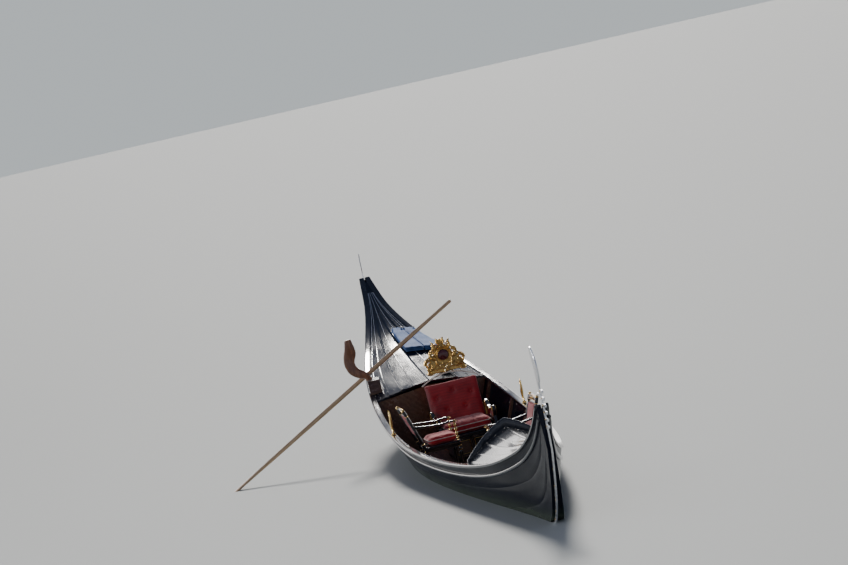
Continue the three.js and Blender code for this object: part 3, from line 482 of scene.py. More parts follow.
# Gunwales and rub rails
# Each gunwale is a boxy lacquered moulding with a rounded lip, fixed on top of the planking.
# A half-round rail is nailed below it along the whole side.
GUNWALE = {"in": 0.048, "out": 0.02, "high": 0.028}
RAIL = {"below": 0.092, "height": 0.03, "depth": 0.02}
RIM_BLACK = lacquer("rim_black", (0.006, 0.006, 0.01), (0.03, 0.032, 0.045), (0.06, 0.22), 0.5)


def power(value, exponent):
    """|value|^exponent with the value's own sign."""
    return np.sign(value) * np.abs(value) ** exponent


def gunwale(h, side):
    """A flat foot under a superellipse: y = mid + wide cos(a)^0.42, z = base + high sin(a)^0.42."""
    inner = np.maximum(h["half"] - GUNWALE["in"], 0.004)
    outer = h["half"] + GUNWALE["out"]
    mid, wide = (inner + outer) / 2, (outer - inner) / 2
    base, high = h["rim"] + 0.0003, GUNWALE["high"]
    ring = [(side * inner, base), (side * outer, base), (side * outer, base + 0.3 * high)]
    for a in np.linspace(0.12, np.pi - 0.08, 13):
        across = side * (mid + wide * power(math.cos(a), 0.42))
        ring.append((across, base + 0.35 * high + 0.63 * high * math.sin(a) ** 0.42))
    return ring + [(side * inner, base + 0.3 * high)]


def rub(h, side):
    """A part circle over a flat back, whose upper edge keeps RAIL below or 0.4 of a low side."""
    down = np.minimum(RAIL["below"] - RAIL["height"] / 2, 0.4 * (h["rim"] - h["keel"]))
    high = h["rim"] - down
    low = high - RAIL["height"]
    ring = [(side * (outer_half(h, z) + 0.001), z) for z in (high, low)]
    for a in np.linspace(-0.42, 0.42, 7) * np.pi:
        z = (high + low) / 2 + 0.5 * RAIL["height"] * math.sin(a) / math.sin(0.42 * np.pi)
        ring.append((side * (outer_half(h, z) + 0.001 + RAIL["depth"] * (0.35 + 0.65 * math.cos(a))), z))
    return ring


for name, side in SIDES.items():
    Shape().grid(along(-BOAT_HALF, BOAT_HALF, lambda h: gunwale(h, side))).make(
        "rim_moulding_" + name, [RIM_BLACK], stands_for=("gunwale_" + name,), slot="rim_lacquer", angle=60
    )
    Shape().grid(along(-BOAT_HALF, BOAT_HALF, lambda h: rub(h, side))).make(
        "rubbing_strip_" + name, [RIM_BLACK], stands_for=("rub_rail_" + name,), slot="rim_lacquer", angle=50
    )


# Bottom and posts
# The flat bottom and the two end posts are solid timbers under the hull's own lacquer. They keep
# their CAD shapes, which the planking and the irons cover.
def paint_node(name, paint):
    """Gives a CAD node's object this material in every slot."""
    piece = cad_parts[name]
    if not piece.material_slots:
        piece.data.materials.append(paint)
    for slot in piece.material_slots:
        slot.material = paint


for name in ("bottom", "stem_post", "stern_post"):
    paint_node(name, HULL_BLACK)

# Decks
# Both decks are ridged and lacquered. Mouldings and fine beads are nailed on, and fan out from the
# boat's ends; a pale grey line along the crests of the stern's beads is a painted highlight.
DECK = {"rise": 0.003, "thick": 0.015, "round": 0.35, "end": 5.15, "bow_aft": 2.35, "stern_fore": -2.3}
RIDGE = {"bow": 0.6, "stern": 0.16}
MOULDINGS = [(-0.52, 0.012, 0.011), (0, 0.012, 0.011), (0.52, 0.012, 0.011)]
BEADS = [(f, 0.006, 0.005) for f in (-0.94, -0.76, -0.28, 0.28, 0.76, 0.94)]
# Where the painted highlight line runs on the stern's beads, and its section.
LINE = {"aft": -5.0, "fore": -3.0, "wide": 0.0026, "deep": 0.0012}
DECK_BLACK = lacquer("deck_black", (0.004, 0.006, 0.013), (0.012, 0.018, 0.036), (0.1, 0.24), 0.0)
FOREDECK_BLACK = lacquer("foredeck_black", (0.01, 0.012, 0.018), (0.03, 0.034, 0.045), (0.2, 0.34), 0.8)
# Pale grey lacquer standing for the light caught on the stern's beads: a painted highlight.
BEAD_HIGHLIGHT_PAINT = lacquer("painted_bead_highlight", (0.34, 0.36, 0.42), (0.5, 0.53, 0.6), (0.15, 0.35), 0.5)


def deck_half(h):
    """Half the deck's width: the hull's half breadth less the gunwale's inner part."""
    return np.maximum(h["half"] - GUNWALE["in"], 0.004) - 0.0005


def deck_top(h, w, ridge, u):
    """z = rim + rise + thick + ridge w ((1 - u^2) round + (1 - |u|) (1 - round))"""
    arch = DECK["round"] * (1 - u * u) + (1 - DECK["round"]) * (1 - abs(u))
    return h["rim"] + DECK["rise"] + DECK["thick"] + ridge * w * arch


def deck_outline(h, ridge):
    """The deck's top from side to side, with a rounded ridge cos(k pi / 2)^0.7 at each moulding."""
    w = deck_half(h)
    strips = sorted(MOULDINGS + BEADS)
    marks = [(-1.0, 0, 0, 0), (1.0, 0, 0, 0)]
    for f in np.linspace(-0.97, 0.97, 28):
        if all(abs(f - at) > 0.03 for at, _, _ in strips):
            marks.append((f, 0, 0, 0))
    for f, wide, rise in strips:
        for k in (-1, -0.85, -0.5, 0, 0.5, 0.85, 1):
            marks.append((f, k, wide, rise * math.cos(k * np.pi / 2) ** 0.7 if abs(k) < 1 else 0))
    ring = []
    for f, k, wide, rise in sorted(marks):
        narrow = np.minimum(wide, 0.1 * w)
        y = f * w + k * narrow
        ring.append((y, deck_top(h, w, ridge, y / w) + rise * narrow / max(wide, 1e-9)))
    return ring


def deck_section(h, ridge):
    """The deck's top and, DECK thick below it, its smooth underside."""
    w = deck_half(h)
    under = [(u * w, deck_top(h, w, ridge, u) - DECK["thick"]) for u in np.linspace(1, -1, 9)]
    return deck_outline(h, ridge) + under


def sweep(path, wide, deep, across, sides=16, square=1.0):
    """Rows of a bar along the path: p + u wide cos(t)^q + v deep sin(t)^q, with q = square."""
    path = np.asarray(path, float)
    wide, deep = np.broadcast_to(wide, len(path)), np.broadcast_to(deep, len(path))
    run = np.gradient(path, axis=0)
    run /= np.linalg.norm(run, axis=1)[:, None]
    side = np.asarray(across, float)
    u = side - run * (run @ side)[:, None]
    u /= np.linalg.norm(u, axis=1)[:, None]
    v = np.cross(run, u)
    t = np.linspace(0, 2 * np.pi, sides, endpoint=False)
    c, s = wide[:, None] * power(np.cos(t), square), deep[:, None] * power(np.sin(t), square)
    return path[:, None] + u[:, None] * c[..., None] + v[:, None] * s[..., None]


def deck_shape(start, end, ridge):
    """The deck's section carried along the hull from start to end."""
    return Shape().grid(along(start, end, lambda h: deck_section(h, ridge), 0.05))


foredeck = deck_shape(DECK["bow_aft"], DECK["end"], RIDGE["bow"])
foredeck.make("foredeck", [FOREDECK_BLACK], stands_for=("bow_deck",), slot="deck_lacquer", angle=30)
afterdeck = deck_shape(-DECK["end"], DECK["stern_fore"], RIDGE["stern"])
xs = np.linspace(LINE["aft"], LINE["fore"], 60)
h = hull(xs)
w = deck_half(h)
# Each bead gets a thin pale tube along its crest from x = -5 to -3 m: a painted highlight.
for f, wide, rise in BEADS:
    lift = rise * np.minimum(wide, 0.1 * w) / wide
    line = np.c_[xs, h["middle"] + f * w, deck_top(h, w, RIDGE["stern"], f) + lift]
    afterdeck.grid(sweep(line, LINE["wide"], LINE["deep"], (0, 1, 0), 8), paint=1)
paints = [DECK_BLACK, BEAD_HIGHLIGHT_PAINT]
afterdeck.make("afterdeck", paints, stands_for=("stern_deck",), slot="deck_lacquer", angle=30)

# Coaming
# An upright board closes the bow deck's aft edge and is scribed over its mouldings. Its faces
# carry a raised panel and its top is rounded.
COAMING = {"at": 2.352, "thick": 0.024, "height": 0.096, "fall": 0.6, "panel": 0.0035}
h = hull(COAMING["at"] + COAMING["thick"] / 2)
w = float(deck_half(h))
half = COAMING["thick"] / 2
u = np.linspace(-1, 1, 81)
deck = deck_top(h, w, RIDGE["bow"], u)
base = deck + 0.0005
for f, wide, rise in MOULDINGS + BEADS:
    base += rise * np.maximum(0, 1 - np.abs(u - f) * w / wide) ** 0.5
top = deck + COAMING["height"] * (1 - COAMING["fall"] * u * u)
sunk = COAMING["panel"] * (np.abs(u) < 0.94)
bend = np.linspace(np.pi, 0, 7)
face = [(1, 0), (1, 0.12), (0, 0.2), (0, 0.66), (1, 0.74), (1, 0.84)]
ring = [(-half + inset * sunk, v) for inset, v in face]
ring += [(half * math.cos(a) + 0 * u, 0.88 + 0.12 * math.sin(a)) for a in bend]
ring += [(half - inset * sunk, v) for inset, v in face[::-1]]
across = h["middle"] + u * w
rows = np.stack([np.stack([COAMING["at"] + half + x, across, base + v * (top - base)], 1) for x, v in ring], 1)
Shape().grid(rows).make(
    "coaming_board", [FOREDECK_BLACK], stands_for=("bow_coaming",), slot="deck_lacquer", angle=35
)

# Floor
# Loose varnished boards lie in three panels on the bottom's timbers. They are worn pale, their
# upper edges are eased, and their joints are open.
FLOOR = {"above": 0.082, "thick": 0.018, "clear": 0.012, "edge": 0.0035, "boards": 6}
FLOOR_ENDS = [-2.28, -0.76, 0.76, 2.25]
FLOOR_WOOD = wood(
    "floor_wood", (0.22, 0.12, 0.09), (0.46, 0.3, 0.24), (0.06, 1, 1), 18, (0.3, 0.6), 0.1, wear=0.6
)


def floor_board(h, place):
    """The section of one board, whose upper edges are eased; place counts from starboard."""
    z = h["keel"] + FLOOR["above"]
    w = outer_half(h, z) - PLANK - FLOOR["clear"]
    a, b = (2 * place / FLOOR["boards"] - 1) * w + 0.002, (2 * (place + 1) / FLOOR["boards"] - 1) * w - 0.002
    e = FLOOR["edge"]
    top = z + FLOOR["thick"]
    right_edge = [(b, z), (b, top - e), (b - e * 0.3, top - e * 0.3), (b - e, top)]
    return [(a, z)] + right_edge + [(a + e, top), (a + e * 0.3, top - e * 0.3), (a, top - e)]


for name, start, end in zip(("stern", "middle", "bow"), FLOOR_ENDS, FLOOR_ENDS[1:]):
    shape = Shape()
    for place in range(FLOOR["boards"]):
        shape.grid(along(start + 0.0015, end - 0.0015, lambda h: floor_board(h, place), 0.1))
    stands_for = ("floor_" + name,)
    shape.make("floor_boards_" + name, [FLOOR_WOOD], stands_for=stands_for, slot="floor_wood", angle=30)

# Bulkheads, crutch block and foot board
# These are plain varnished boards and blocks, sawn square and fitted between the sides. Their CAD
# shapes serve, with eased edges.
EASED = {"crutch_block": 0.006, "foot_board": 0.006, "bow_bulkhead": 0.002, "stern_bulkhead": 0.002}
for name, width in EASED.items():
    paint_node(name, INNER_WOOD)
    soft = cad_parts[name].modifiers.new("soft_edges", "BEVEL")
    soft.width, soft.segments, soft.limit_method = width, 3, "ANGLE"
    soft.angle_limit = math.radians(35)

# Seat chest
# A lacquered chest with a wider lid stands across the boat under the guests' cushion. Two framed
# panels are glued on its front, with a gilded line inside each frame.
CHEST = {"deep": 0.52, "wide": 0.42, "lid": 0.03, "lid_deep": 0.54}
FRAME = {"thick": 0.014, "long": 0.208, "rail": 0.03, "stile": 0.022, "edge": 0.003, "line": 0.0035}
chest_low, chest_high = np.array(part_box("seat_base"))
SEAT_X, SEAT_Y, SEAT_TOP = -1.58, (chest_low[1] + chest_high[1]) / 2, chest_high[2]
SEAT_BLACK = lacquer("seat_black", (0.006, 0.005, 0.006), (0.02, 0.016, 0.018), (0.08, 0.25), 0.5)


def leaf_over_clay():
    """Gold leaf, dull where it is cracked, with red clay in the hollows."""
    group, given, found = effect(
        "leaf_over_clay", ("Where", "Leaf colour", "Worn colour", "Clay colour"),
        ("Base colour", "Gloss", "Height"),
    )
    where = given["Where"]
    cracks = noise(group, where, 60, 6, 0.7)
    worn = ramp(group, cracks, [(0.5, 0), (0.68, 1)])
    hollow = ramp(group, noise(group, where, 22, 4, 0.6), [(0.35, 1), (0.6, 0)])
    colour = mix(group, maths(group, "MULTIPLY", worn, 0.55), given["Leaf colour"], given["Worn colour"])
    colour = mix(group, maths(group, "MULTIPLY", hollow, 0.6), colour, given["Clay colour"])
    group.links.new(colour, found["Base colour"])
    group.links.new(ramp(group, cracks, [(0.35, 0.16), (0.75, 0.5)]), found["Gloss"])
    group.links.new(cracks, found["Height"])
    return group


LEAF = leaf_over_clay()


def gilding(name, leaf, clay):
    """Gold leaf over red clay, with low relief from its cracks."""
    values = {"Leaf colour": leaf, "Worn colour": tuple(c * 0.55 for c in leaf), "Clay colour": clay}
    made = material(name, LEAF, values, metallic=0.9, roughness=0.28)
    relief(made, 0.45, 0.003)
    return made


GILT = gilding("gilt", (0.83, 0.52, 0.16), (0.16, 0.05, 0.02))


def board(at, size, edge=0.004, steps=3):
    """Rows of a board round `at`: quarter circles of radius `edge` round every edge."""
    half = np.array(size, float) / 2
    edge = min(edge, *(half * 0.98))
    q = np.linspace(0, np.pi / 2, steps + 1)
    corner = np.stack([np.cos(q), np.sin(q)], 1) - 1
    turns = [corner, corner[::-1], corner, corner[::-1]]
    signs = [(1, 1), (-1, 1), (-1, -1), (1, -1)]
    ring = np.concatenate([sign * (half[:2] + edge * turn) for sign, turn in zip(np.array(signs), turns)])
    inset, end = edge * (1 - np.cos(q)), half[2] - edge * (1 - np.sin(q))
    levels, inset = np.append(-end, end[::-1]), np.append(inset, inset[::-1])
    rings = [np.c_[ring * (1 - gap / half[:2]), np.full(len(ring), z)] for z, gap in zip(levels, inset)]
    return np.array(rings) + np.array(at)


tall = SEAT_TOP - CHEST["lid"] - chest_low[2]
middle = chest_low[2] + tall / 2
front = SEAT_X + CHEST["deep"] / 2 + 0.003
lid = (CHEST["lid_deep"], chest_high[1] - chest_low[1] - 0.001, CHEST["lid"])
chest = Shape().grid(board((SEAT_X, SEAT_Y, middle), (CHEST["deep"], CHEST["wide"], tall)))
chest.grid(board((SEAT_X, SEAT_Y, SEAT_TOP - CHEST["lid"] / 2), lid, 0.008))
for y in (SEAT_Y - 0.105, SEAT_Y + 0.105):
    for way in (-1, 1):
        rail = (FRAME["thick"], FRAME["long"], FRAME["rail"])
        chest.grid(board((front, y, middle + way * (tall / 2 - 0.018)), rail, FRAME["edge"]))
        stile = (FRAME["thick"], FRAME["stile"], tall - 0.006)
        chest.grid(board((front, y + way * 0.095, middle), stile, FRAME["edge"]))
    corners = np.array([(-1, -1), (1, -1), (1, 1), (-1, 1), (-1, -1)]) * (0.078, tall / 2 - 0.042)
    line = np.c_[np.full(5, front + 0.003), y + corners[:, 0], middle + corners[:, 1]]
    for start, end in zip(line, line[1:]):
        bar = sweep(np.linspace(start, end, 3), FRAME["line"], FRAME["line"], (1, 0, 0), 8)
        chest.grid(bar, paint=1)
chest.make("seat_chest", [SEAT_BLACK, GILT], stands_for=("seat_base",), slot="inner_wood")

# Seat arms
# Each arm is a lacquered plank screwed to the chest's side, with a scrolled front, a dipped rest
# and a raised back. A gilded scroll and line run on both faces.
ARM_OUTLINE = [
    (-0.25, -0.5), (-0.25, 0.1), (-0.245, 0.46), (-0.18, 0.47), (-0.08, 0.3), (0.06, 0.25), (0.16, 0.33),
    (0.215, 0.36), (0.245, 0.24), (0.235, 0.08), (0.2, 0.0), (0.215, -0.2), (0.24, -0.5),
]
ARM_LAYERS = [(-0.5, 0.94), (-0.44, 0.985), (-0.36, 1), (0.36, 1), (0.44, 0.985), (0.5, 0.94)]


def curve_through(points, count):
    """Points of a Catmull-Rom curve through the given rows, which may hold any number of columns."""
    points = np.asarray(points, float)
    last = len(points) - 1
    s = np.linspace(0, last, count)
    i = np.minimum(s.astype(int), last - 1)
    t = (s - i)[:, None]
    before, after = points[np.maximum(i - 1, 0)], points[np.minimum(i + 2, last)]
    a, b = points[i], points[i + 1]
    cubic = 3 * (a - b) + after - before
    return a + 0.5 * t * (b - before + t * (2 * before - 5 * a + 4 * b - after + t * cubic))


def upright(points, at, out=0.0, tall=1.0):
    """Outline points (x, z) set in an upright lengthwise plane: at + (x, out, tall z)."""
    points = np.asarray(points, float)
    return np.c_[at[0] + points[:, 0], np.full(len(points), at[1] + out), at[2] + tall * points[:, 1]]


def spiral(cx, cy, r0, r1, a0, a1, count=60):
    """Points of a spiral: radius from r0 to r1 while the angle goes from a0 to a1 in turns."""
    t = np.linspace(0, 1, count)
    angle, radius = 2 * np.pi * (a0 + (a1 - a0) * t), r0 * (r1 / r0) ** t
    return np.c_[cx + radius * np.cos(angle), cy + radius * np.sin(angle)]


outline = curve_through(ARM_OUTLINE, 70)
for name in SIDES:
    low, high = np.array(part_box("seat_arm_" + name))
    mid = (low + high) / 2
    thick, tall = high[1] - low[1], high[2] - low[2]
    arm = Shape().grid([upright(outline * inset, mid, y * thick, tall) for y, inset in ARM_LAYERS])
    scroll = spiral(0.205, 0.24 * tall, 0.034, 0.034 * math.exp(-0.512 * np.pi), 0, 1.6)
    for face in (-1, 1):
        wide = 0.0045 - 0.002 * np.linspace(0, 1, 60)
        arm.grid(sweep(upright(scroll, mid, face * thick * 0.49), wide, 0.004, (0, 1, 0), 8), paint=1)
        line = upright(outline[4:60] * [0.93, 0.9], mid, face * thick * 0.495, tall)
        arm.grid(sweep(line, 0.0028, 0.0028, (0, 1, 0), 6), paint=1)
    arm.make("arm_" + name, [SEAT_BLACK, GILT], stands_for=("seat_arm_" + name,), slot="inner_wood")

# Guests' cushion
# A stuffed cushion of crimson cloth lies on the chest. Two channels are sewn across it, and a
# cream cord is stitched round its upper and its lower edge.
CUSHION = {"length": 0.53, "width": 0.55, "height": 0.124, "corner": 0.08, "cord": 0.0045}


def woven_cloth():
    """Three crossed thread waves under a soft nap, faded by use, with painted shade darkening it at random
    creases.
    """
    group, given, found = effect(
        "woven_cloth", ("Where", "Threads", "Deep colour", "Light colour", "Crushed colour", "Thread colour"),
        ("Base colour", "Height", "Weave height"),
    )
    where = given["Where"]
    inputs = {"Vector": where, "Scale": given["Threads"], "Distortion": 0.6, "Detail": 1}
    x, y, z = (node(group, "ShaderNodeTexWave", inputs, bands_direction=axis).outputs["Fac"] for axis in "XYZ")
    weft = maths(group, "MULTIPLY", maths(group, "ADD", x, y), maths(group, "ADD", z, 0.6))
    crease_shade = noise(group, where, 42, 4, 0.6)
    use = ramp(group, noise(group, where, 6, 5, 0.6), [(0.3, 0), (0.72, 1)])
    colour = mix(group, use, given["Deep colour"], given["Light colour"])
    # Painted shade: the colour is drawn towards half the deep colour where the crease noise is high.
    colour = mix(group, maths(group, "MULTIPLY", crease_shade, 0.35), colour, given["Crushed colour"])
    colour = mix(group, maths(group, "MULTIPLY", weft, 0.12), colour, given["Thread colour"])
    group.links.new(colour, found["Base colour"])
    folds = maths(group, "ADD", noise(group, where, 9, 3), maths(group, "MULTIPLY", crease_shade, 0.2))
    group.links.new(folds, found["Height"])
    group.links.new(weft, found["Weave height"])
    return group


WEAVE = woven_cloth()


def cloth(name, deep, light, threads=45, nap=0.5, tint=(1, 0.6, 0.6), rough=0.8, slack=0.004):
    """Cloth with a nap; slack is the depth of its soft folds."""
    values = {"Threads": threads, "Deep colour": deep, "Light colour": light}
    # The crease colour is painted shade, half the deep colour.
    values["Crushed colour"] = tuple(c * 0.5 for c in deep)
    values["Thread colour"] = tuple(min(1, c * 1.6) for c in light)
    nap_values = {"sheen_weight": nap, "sheen_roughness": 0.4, "sheen_tint": rgba(tint)}
    made = material(name, WEAVE, values, roughness=rough, **nap_values)
    relief(made, 0.25, 0.0008, "Weave height", relief(made, 0.5, slack))
    return made


CRIMSON = cloth("crimson", (0.22, 0.006, 0.012), (0.5, 0.022, 0.03))
WHITE_CORD = cloth("cream_cord", (0.55, 0.45, 0.34), (0.85, 0.78, 0.66), 75, 0.2)


def points_of(mesh):
    """All the mesh's points as an array."""
    found = np.empty(len(mesh.vertices) * 3)
    mesh.vertices.foreach_get("co", found)
    return found.reshape(-1, 3)


def finished_mesh(piece):
    """A new mesh of the piece as its modifiers leave it."""
    return bpy.data.meshes.new_from_object(piece.evaluated_get(bpy.context.evaluated_depsgraph_get()))


def stuffed(name, rows, voxel, cap, stands_for, pull=None):
    """A pad blown up by cloth simulation inside its cover, each point moving at most `cap` metres.

    `pull` may then draw points in, as seams and buttons do, before one subdivision.
    """
    start = Shape().grid(rows).make(name + "_start", [])
    bpy.context.view_layer.objects.active = start
    remesh = start.modifiers.new("even", "REMESH")
    remesh.mode, remesh.voxel_size = "VOXEL", voxel
    mesh = finished_mesh(start)
    bpy.data.objects.remove(start)
    piece = bpy.data.objects.new(name, mesh)
    bpy.context.scene.collection.objects.link(piece)
    before = after = points_of(mesh)
    blown = piece.modifiers.new("blown", "CLOTH")
    blown.settings.use_pressure = True
    blown.settings.uniform_pressure_force = 4.0
    blown.settings.effector_weights.gravity = 0
    blown.settings.quality = 4
    blown.point_cache.frame_start, blown.point_cache.frame_end = 1, 20
    for step in range(1, 21):
        bpy.context.scene.frame_set(step)
    after = points_of(finished_mesh(piece))
    piece.modifiers.clear()
    bpy.context.scene.frame_set(1)
    shift = after - before
    length = np.linalg.norm(shift, axis=1)[:, None]
    after = before + shift * np.minimum(1, cap / np.maximum(length, 1e-9))
    if pull:
        after = pull(after)
    mesh.vertices.foreach_set("co", after.ravel())
    mesh.update()
    fine = piece.modifiers.new("fine", "SUBSURF")
    fine.levels = fine.render_levels = 1
    mesh = finished_mesh(piece)
    piece.modifiers.clear()
    piece.data = mesh
    mesh.polygons.foreach_set("use_smooth", [True] * len(mesh.polygons))
    mesh.materials.clear()
    mesh.materials.append(CRIMSON)
    settle(piece, "hull", stands_for)
    return piece


def laid_on(piece, path, lift):
    """The path's points moved to the nearest points of the piece, then out from its middle by `lift`."""
    skin = points_of(piece.data)
    found = np.array([skin[np.argmin(((skin - p) ** 2).sum(1))] for p in np.asarray(path)])
    found = (np.roll(found, 1, 0) + 2 * found + np.roll(found, -1, 0)) / 4
    out = (found - skin.mean(0)) * [1, 1, 0]
    return found + lift * out / np.maximum(np.linalg.norm(out, axis=1)[:, None], 1e-6)


def piping(name, piece, ring, at, radius):
    """A corded edge: a thin closed tube laid on the pad along the ring round `at`."""
    line = laid_on(piece, level_ring(ring, at, at[2]), radius * 0.3)
    rows = sweep(np.concatenate([line, line[:1]]), radius, radius, (0, 0, 1), 8)
    rows[-1] = rows[0]
    return Shape().grid(rows, caps=False).make(name, [WHITE_CORD], slot="red_cloth")


def rounded_ring(length, width, radius, count=14):
    """A rectangle's outline as x, y points, with quarter circles of that radius for corners."""
    a = np.linspace(0, np.pi / 2, count) + np.arange(4)[:, None] * np.pi / 2
    corners = np.array([(1, 1), (-1, 1), (-1, -1), (1, -1)]) * (length / 2 - radius, width / 2 - radius)
    return (corners[:, None] + radius * np.stack([np.cos(a), np.sin(a)], 2)).reshape(-1, 2)


def level_ring(ring, at, z, share=1.0):
    """The ring's x, y points times `share`, round `at`, all at the height z."""
    return np.c_[at[0] + ring[:, 0] * share, at[1] + ring[:, 1] * share, np.full(len(ring), z)]


def pad_rows(x, y, low, length, width, height, small):
    """Rows of a cushion's start shape, `small` metres inside the full size."""
    ring = rounded_ring(length - 2 * small, width - 2 * small, min(length, width) * 0.15)
    top = height - small
    levels = [(0.9, small), (1, height * 0.25), (1, height * 0.7), (0.93, top), (0.5, top + 0.006)]
    return np.array([level_ring(ring, (x, y), low + z, share) for share, z in levels])


def sew_channels(points):
    """Lowers the top by 12 mm exp(-(y / 8 mm)^2) at two sewn lines."""
    y = points[:, 1] - SEAT_Y
    top = np.clip((points[:, 2] - SEAT_TOP - 0.07) / 0.03, 0, 1)
    dip = sum(np.exp(-(((y - c) / 0.008) ** 2)) for c in (-0.09, 0.09))
    return points - np.c_[0 * y, 0 * y, 0.012 * dip * top]


size = (CUSHION["length"], CUSHION["width"], CUSHION["height"])
start = pad_rows(SEAT_X, SEAT_Y, SEAT_TOP + 0.001, *size, 0.012)
cushion = stuffed("guest_cushion", start, 0.0085, 0.014, ("seat_cushion",), sew_channels)
ring = rounded_ring(CUSHION["length"], CUSHION["width"], CUSHION["corner"], 24)
for edge, z in (("upper", 0.092), ("lower", 0.02)):
    piping("cushion_cord_" + edge, cushion, ring, (SEAT_X, SEAT_Y, SEAT_TOP + z), CUSHION["cord"])

# Guests' back
# A stuffed back of crimson cloth leans 13 degrees aft and is arched at its top. Five covered
# buttons are drawn into its front, and two cream cords are stitched along its top edge.
BACK = {
    "x": -1.854, "lean": math.tan(math.radians(13)), "thick": 0.07, "width": 0.62,
    "low": SEAT_TOP + 0.01, "high": SEAT_TOP + 0.6, "drop": 0.09, "inside": 0.011,
}
BUTTONS = [(-0.19, 0.62), (0, 0.68), (0.19, 0.62), (-0.1, 0.36), (0.1, 0.36)]
BUTTON_TURNED = [(0.0095, -0.004), (0.011, 0), (0.0095, 0.004), (0.005, 0.006), (0.001, 0.0065)]


def back_middle(z):
    """The lengthwise place of the back's middle at height z, leaning aft."""
    return BACK["x"] - BACK["thick"] / 2 - BACK["lean"] * (z - BACK["low"])


def back_place(points):
    """Sets an upright pad on the seat back: z between low and the arched top, x leaning aft."""
    x, y, share = points[..., 0], points[..., 1], points[..., 2]
    high = BACK["high"] - BACK["drop"] * (y / (BACK["width"] / 2)) ** 2
    z = BACK["low"] + share * (high - BACK["low"])
    return np.stack([back_middle(z) + x, SEAT_Y + y, z], -1)


def back_row(share):
    """The pad's rounded section at that share of its height, smaller at both ends."""
    end = share < 0.025 or share > 0.975
    ring = rounded_ring(BACK["thick"] - 2 * BACK["inside"], BACK["width"] - 2 * BACK["inside"], 0.02, 8)
    ring *= [0.75, 0.99] if end else [1, 1]
    return back_place(np.c_[ring, np.full(len(ring), share)])


def draw_buttons(points):
    """Draws the front of the pad in round each button: depth 16 mm exp(-(r / 30 mm)^2)."""
    points = points.copy()
    for y, share in BUTTONS:
        spot = back_place(np.array([BACK["thick"] / 2, y, share]))
        r2 = ((points[:, 1:] - spot[1:]) ** 2).sum(1)
        points[:, 0] -= 0.016 * np.exp(-r2 / 0.03**2) * (points[:, 0] > back_middle(points[:, 2]))
    return points


def lathe(at, profile, sides=24, axis=(0, 0, 1)):
    """Rows of a turned form: for each (radius, height), at + height axis + radius (cos t, sin t)."""
    axis = Vector(axis).normalized()
    u, w = np.array(axis.orthogonal().normalized()), np.array(axis)
    t = np.linspace(0, 2 * np.pi, sides, endpoint=False)
    ring = np.cos(t)[:, None] * u + np.sin(t)[:, None] * np.cross(w, u)
    return np.array([np.array(at) + h * w + r * ring for r, h in profile])


shares = [0.02, 0.03, 0.06, 0.2, 0.4, 0.6, 0.8, 0.94, 0.97, 0.98]
back = stuffed("guest_back", [back_row(share) for share in shares], 0.009, 0.014, ("seat_back",), draw_buttons)
skin = points_of(back.data)
buttons = Shape()
for y, share in BUTTONS:
    spot = back_place(np.array([BACK["thick"] / 2, y, share]))
    near = skin[((skin[:, 1:] - spot[1:]) ** 2).sum(1) < 0.012**2]
    face = near[:, 0].max() if len(near) else spot[0]
    buttons.grid(lathe((face, spot[1], spot[2]), BUTTON_TURNED, 16, (1, 0, 0.23)))
buttons.make("back_buttons", [CRIMSON], slot="red_cloth")
reach = np.linspace(-1, 1, 50) * (BACK["width"] / 2 - 0.004)
arch = back_place(np.c_[0 * reach, reach, 0 * reach + 1])
cords = Shape()
for offset in (0.024, -0.024):
    cords.grid(sweep(arch + [offset, 0, 0], 0.0045, 0.0045, (1, 0, 0), 8))
cords.make("back_cord", [WHITE_CORD], slot="red_cloth")

# Carved crest
# Gilded scrollwork, carved alike on both faces, stands on the back's top rail. A dark medallion
# sits in a moulded ring with pearls, under a shell and over a pale ribbon bow.
CREST = {"width": 0.46, "height": 0.37, "low": BACK["high"] + 0.001}
CREST_OUTLINE = np.array([
    (0, 1), (0.12, 0.94), (0.2, 0.78), (0.42, 0.74), (0.5, 0.55), (0.72, 0.5), (0.84, 0.34), (1, 0.22),
    (0.94, 0),
])
PLATE_LAYERS = ((0.80, -0.010), (0.86, -0.009), (0.90, -0.004), (0.90, 0.004), (0.86, 0.009), (0.80, 0.010))
SCROLLS = [
    ((0.168, 0.112, 0.052, 0.008, 0.3, -1.45), 0.011, 0.0105),
    ((0.118, 0.232, 0.04, 0.007, 0.62, 2.1), 0.0095, 0.0095),
    ((0.062, 0.302, 0.028, 0.006, 0.6, 1.9), 0.008, 0.008),
    ((0.19, 0.038, 0.028, 0.006, 0.15, 1.5), 0.008, 0.008),
]
STEMS = [
    ([(0.02, 0.04), (0.06, 0.062), (0.11, 0.05), (0.15, 0.06), (0.196, 0.09), (0.214, 0.12)], 0.009),
    ([(0.03, 0.3), (0.07, 0.27), (0.105, 0.262), (0.13, 0.22), (0.16, 0.185), (0.2, 0.17), (0.218, 0.14)],
     0.008),
]
LEAVES = [
    ([(0.085, 0.16), (0.115, 0.17), (0.14, 0.2), (0.15, 0.235)], 0.02),
    ([(0.1, 0.1), (0.13, 0.088), (0.16, 0.062), (0.2, 0.05)], 0.02),
    ([(0.075, 0.25), (0.09, 0.285), (0.085, 0.32), (0.1, 0.345)], 0.016),
    ([(0.05, 0.08), (0.075, 0.1), (0.085, 0.13), (0.08, 0.16)], 0.015),
    ([(0.02, 0.3), (0.035, 0.33), (0.03, 0.355), (0.042, 0.372)], 0.013),
    ([(0.15, 0.15), (0.185, 0.16), (0.21, 0.15), (0.226, 0.12)], 0.016),
    ([(0.14, 0.02), (0.17, 0.012), (0.2, 0.014), (0.222, 0.03)], 0.012),
]
MEDAL = (0.0, 0.19)
BOSS = [(0.06, -0.006), (0.06, 0.004), (0.055, 0.012), (0.04, 0.019), (0.02, 0.0225), (0.001, 0.0235)]
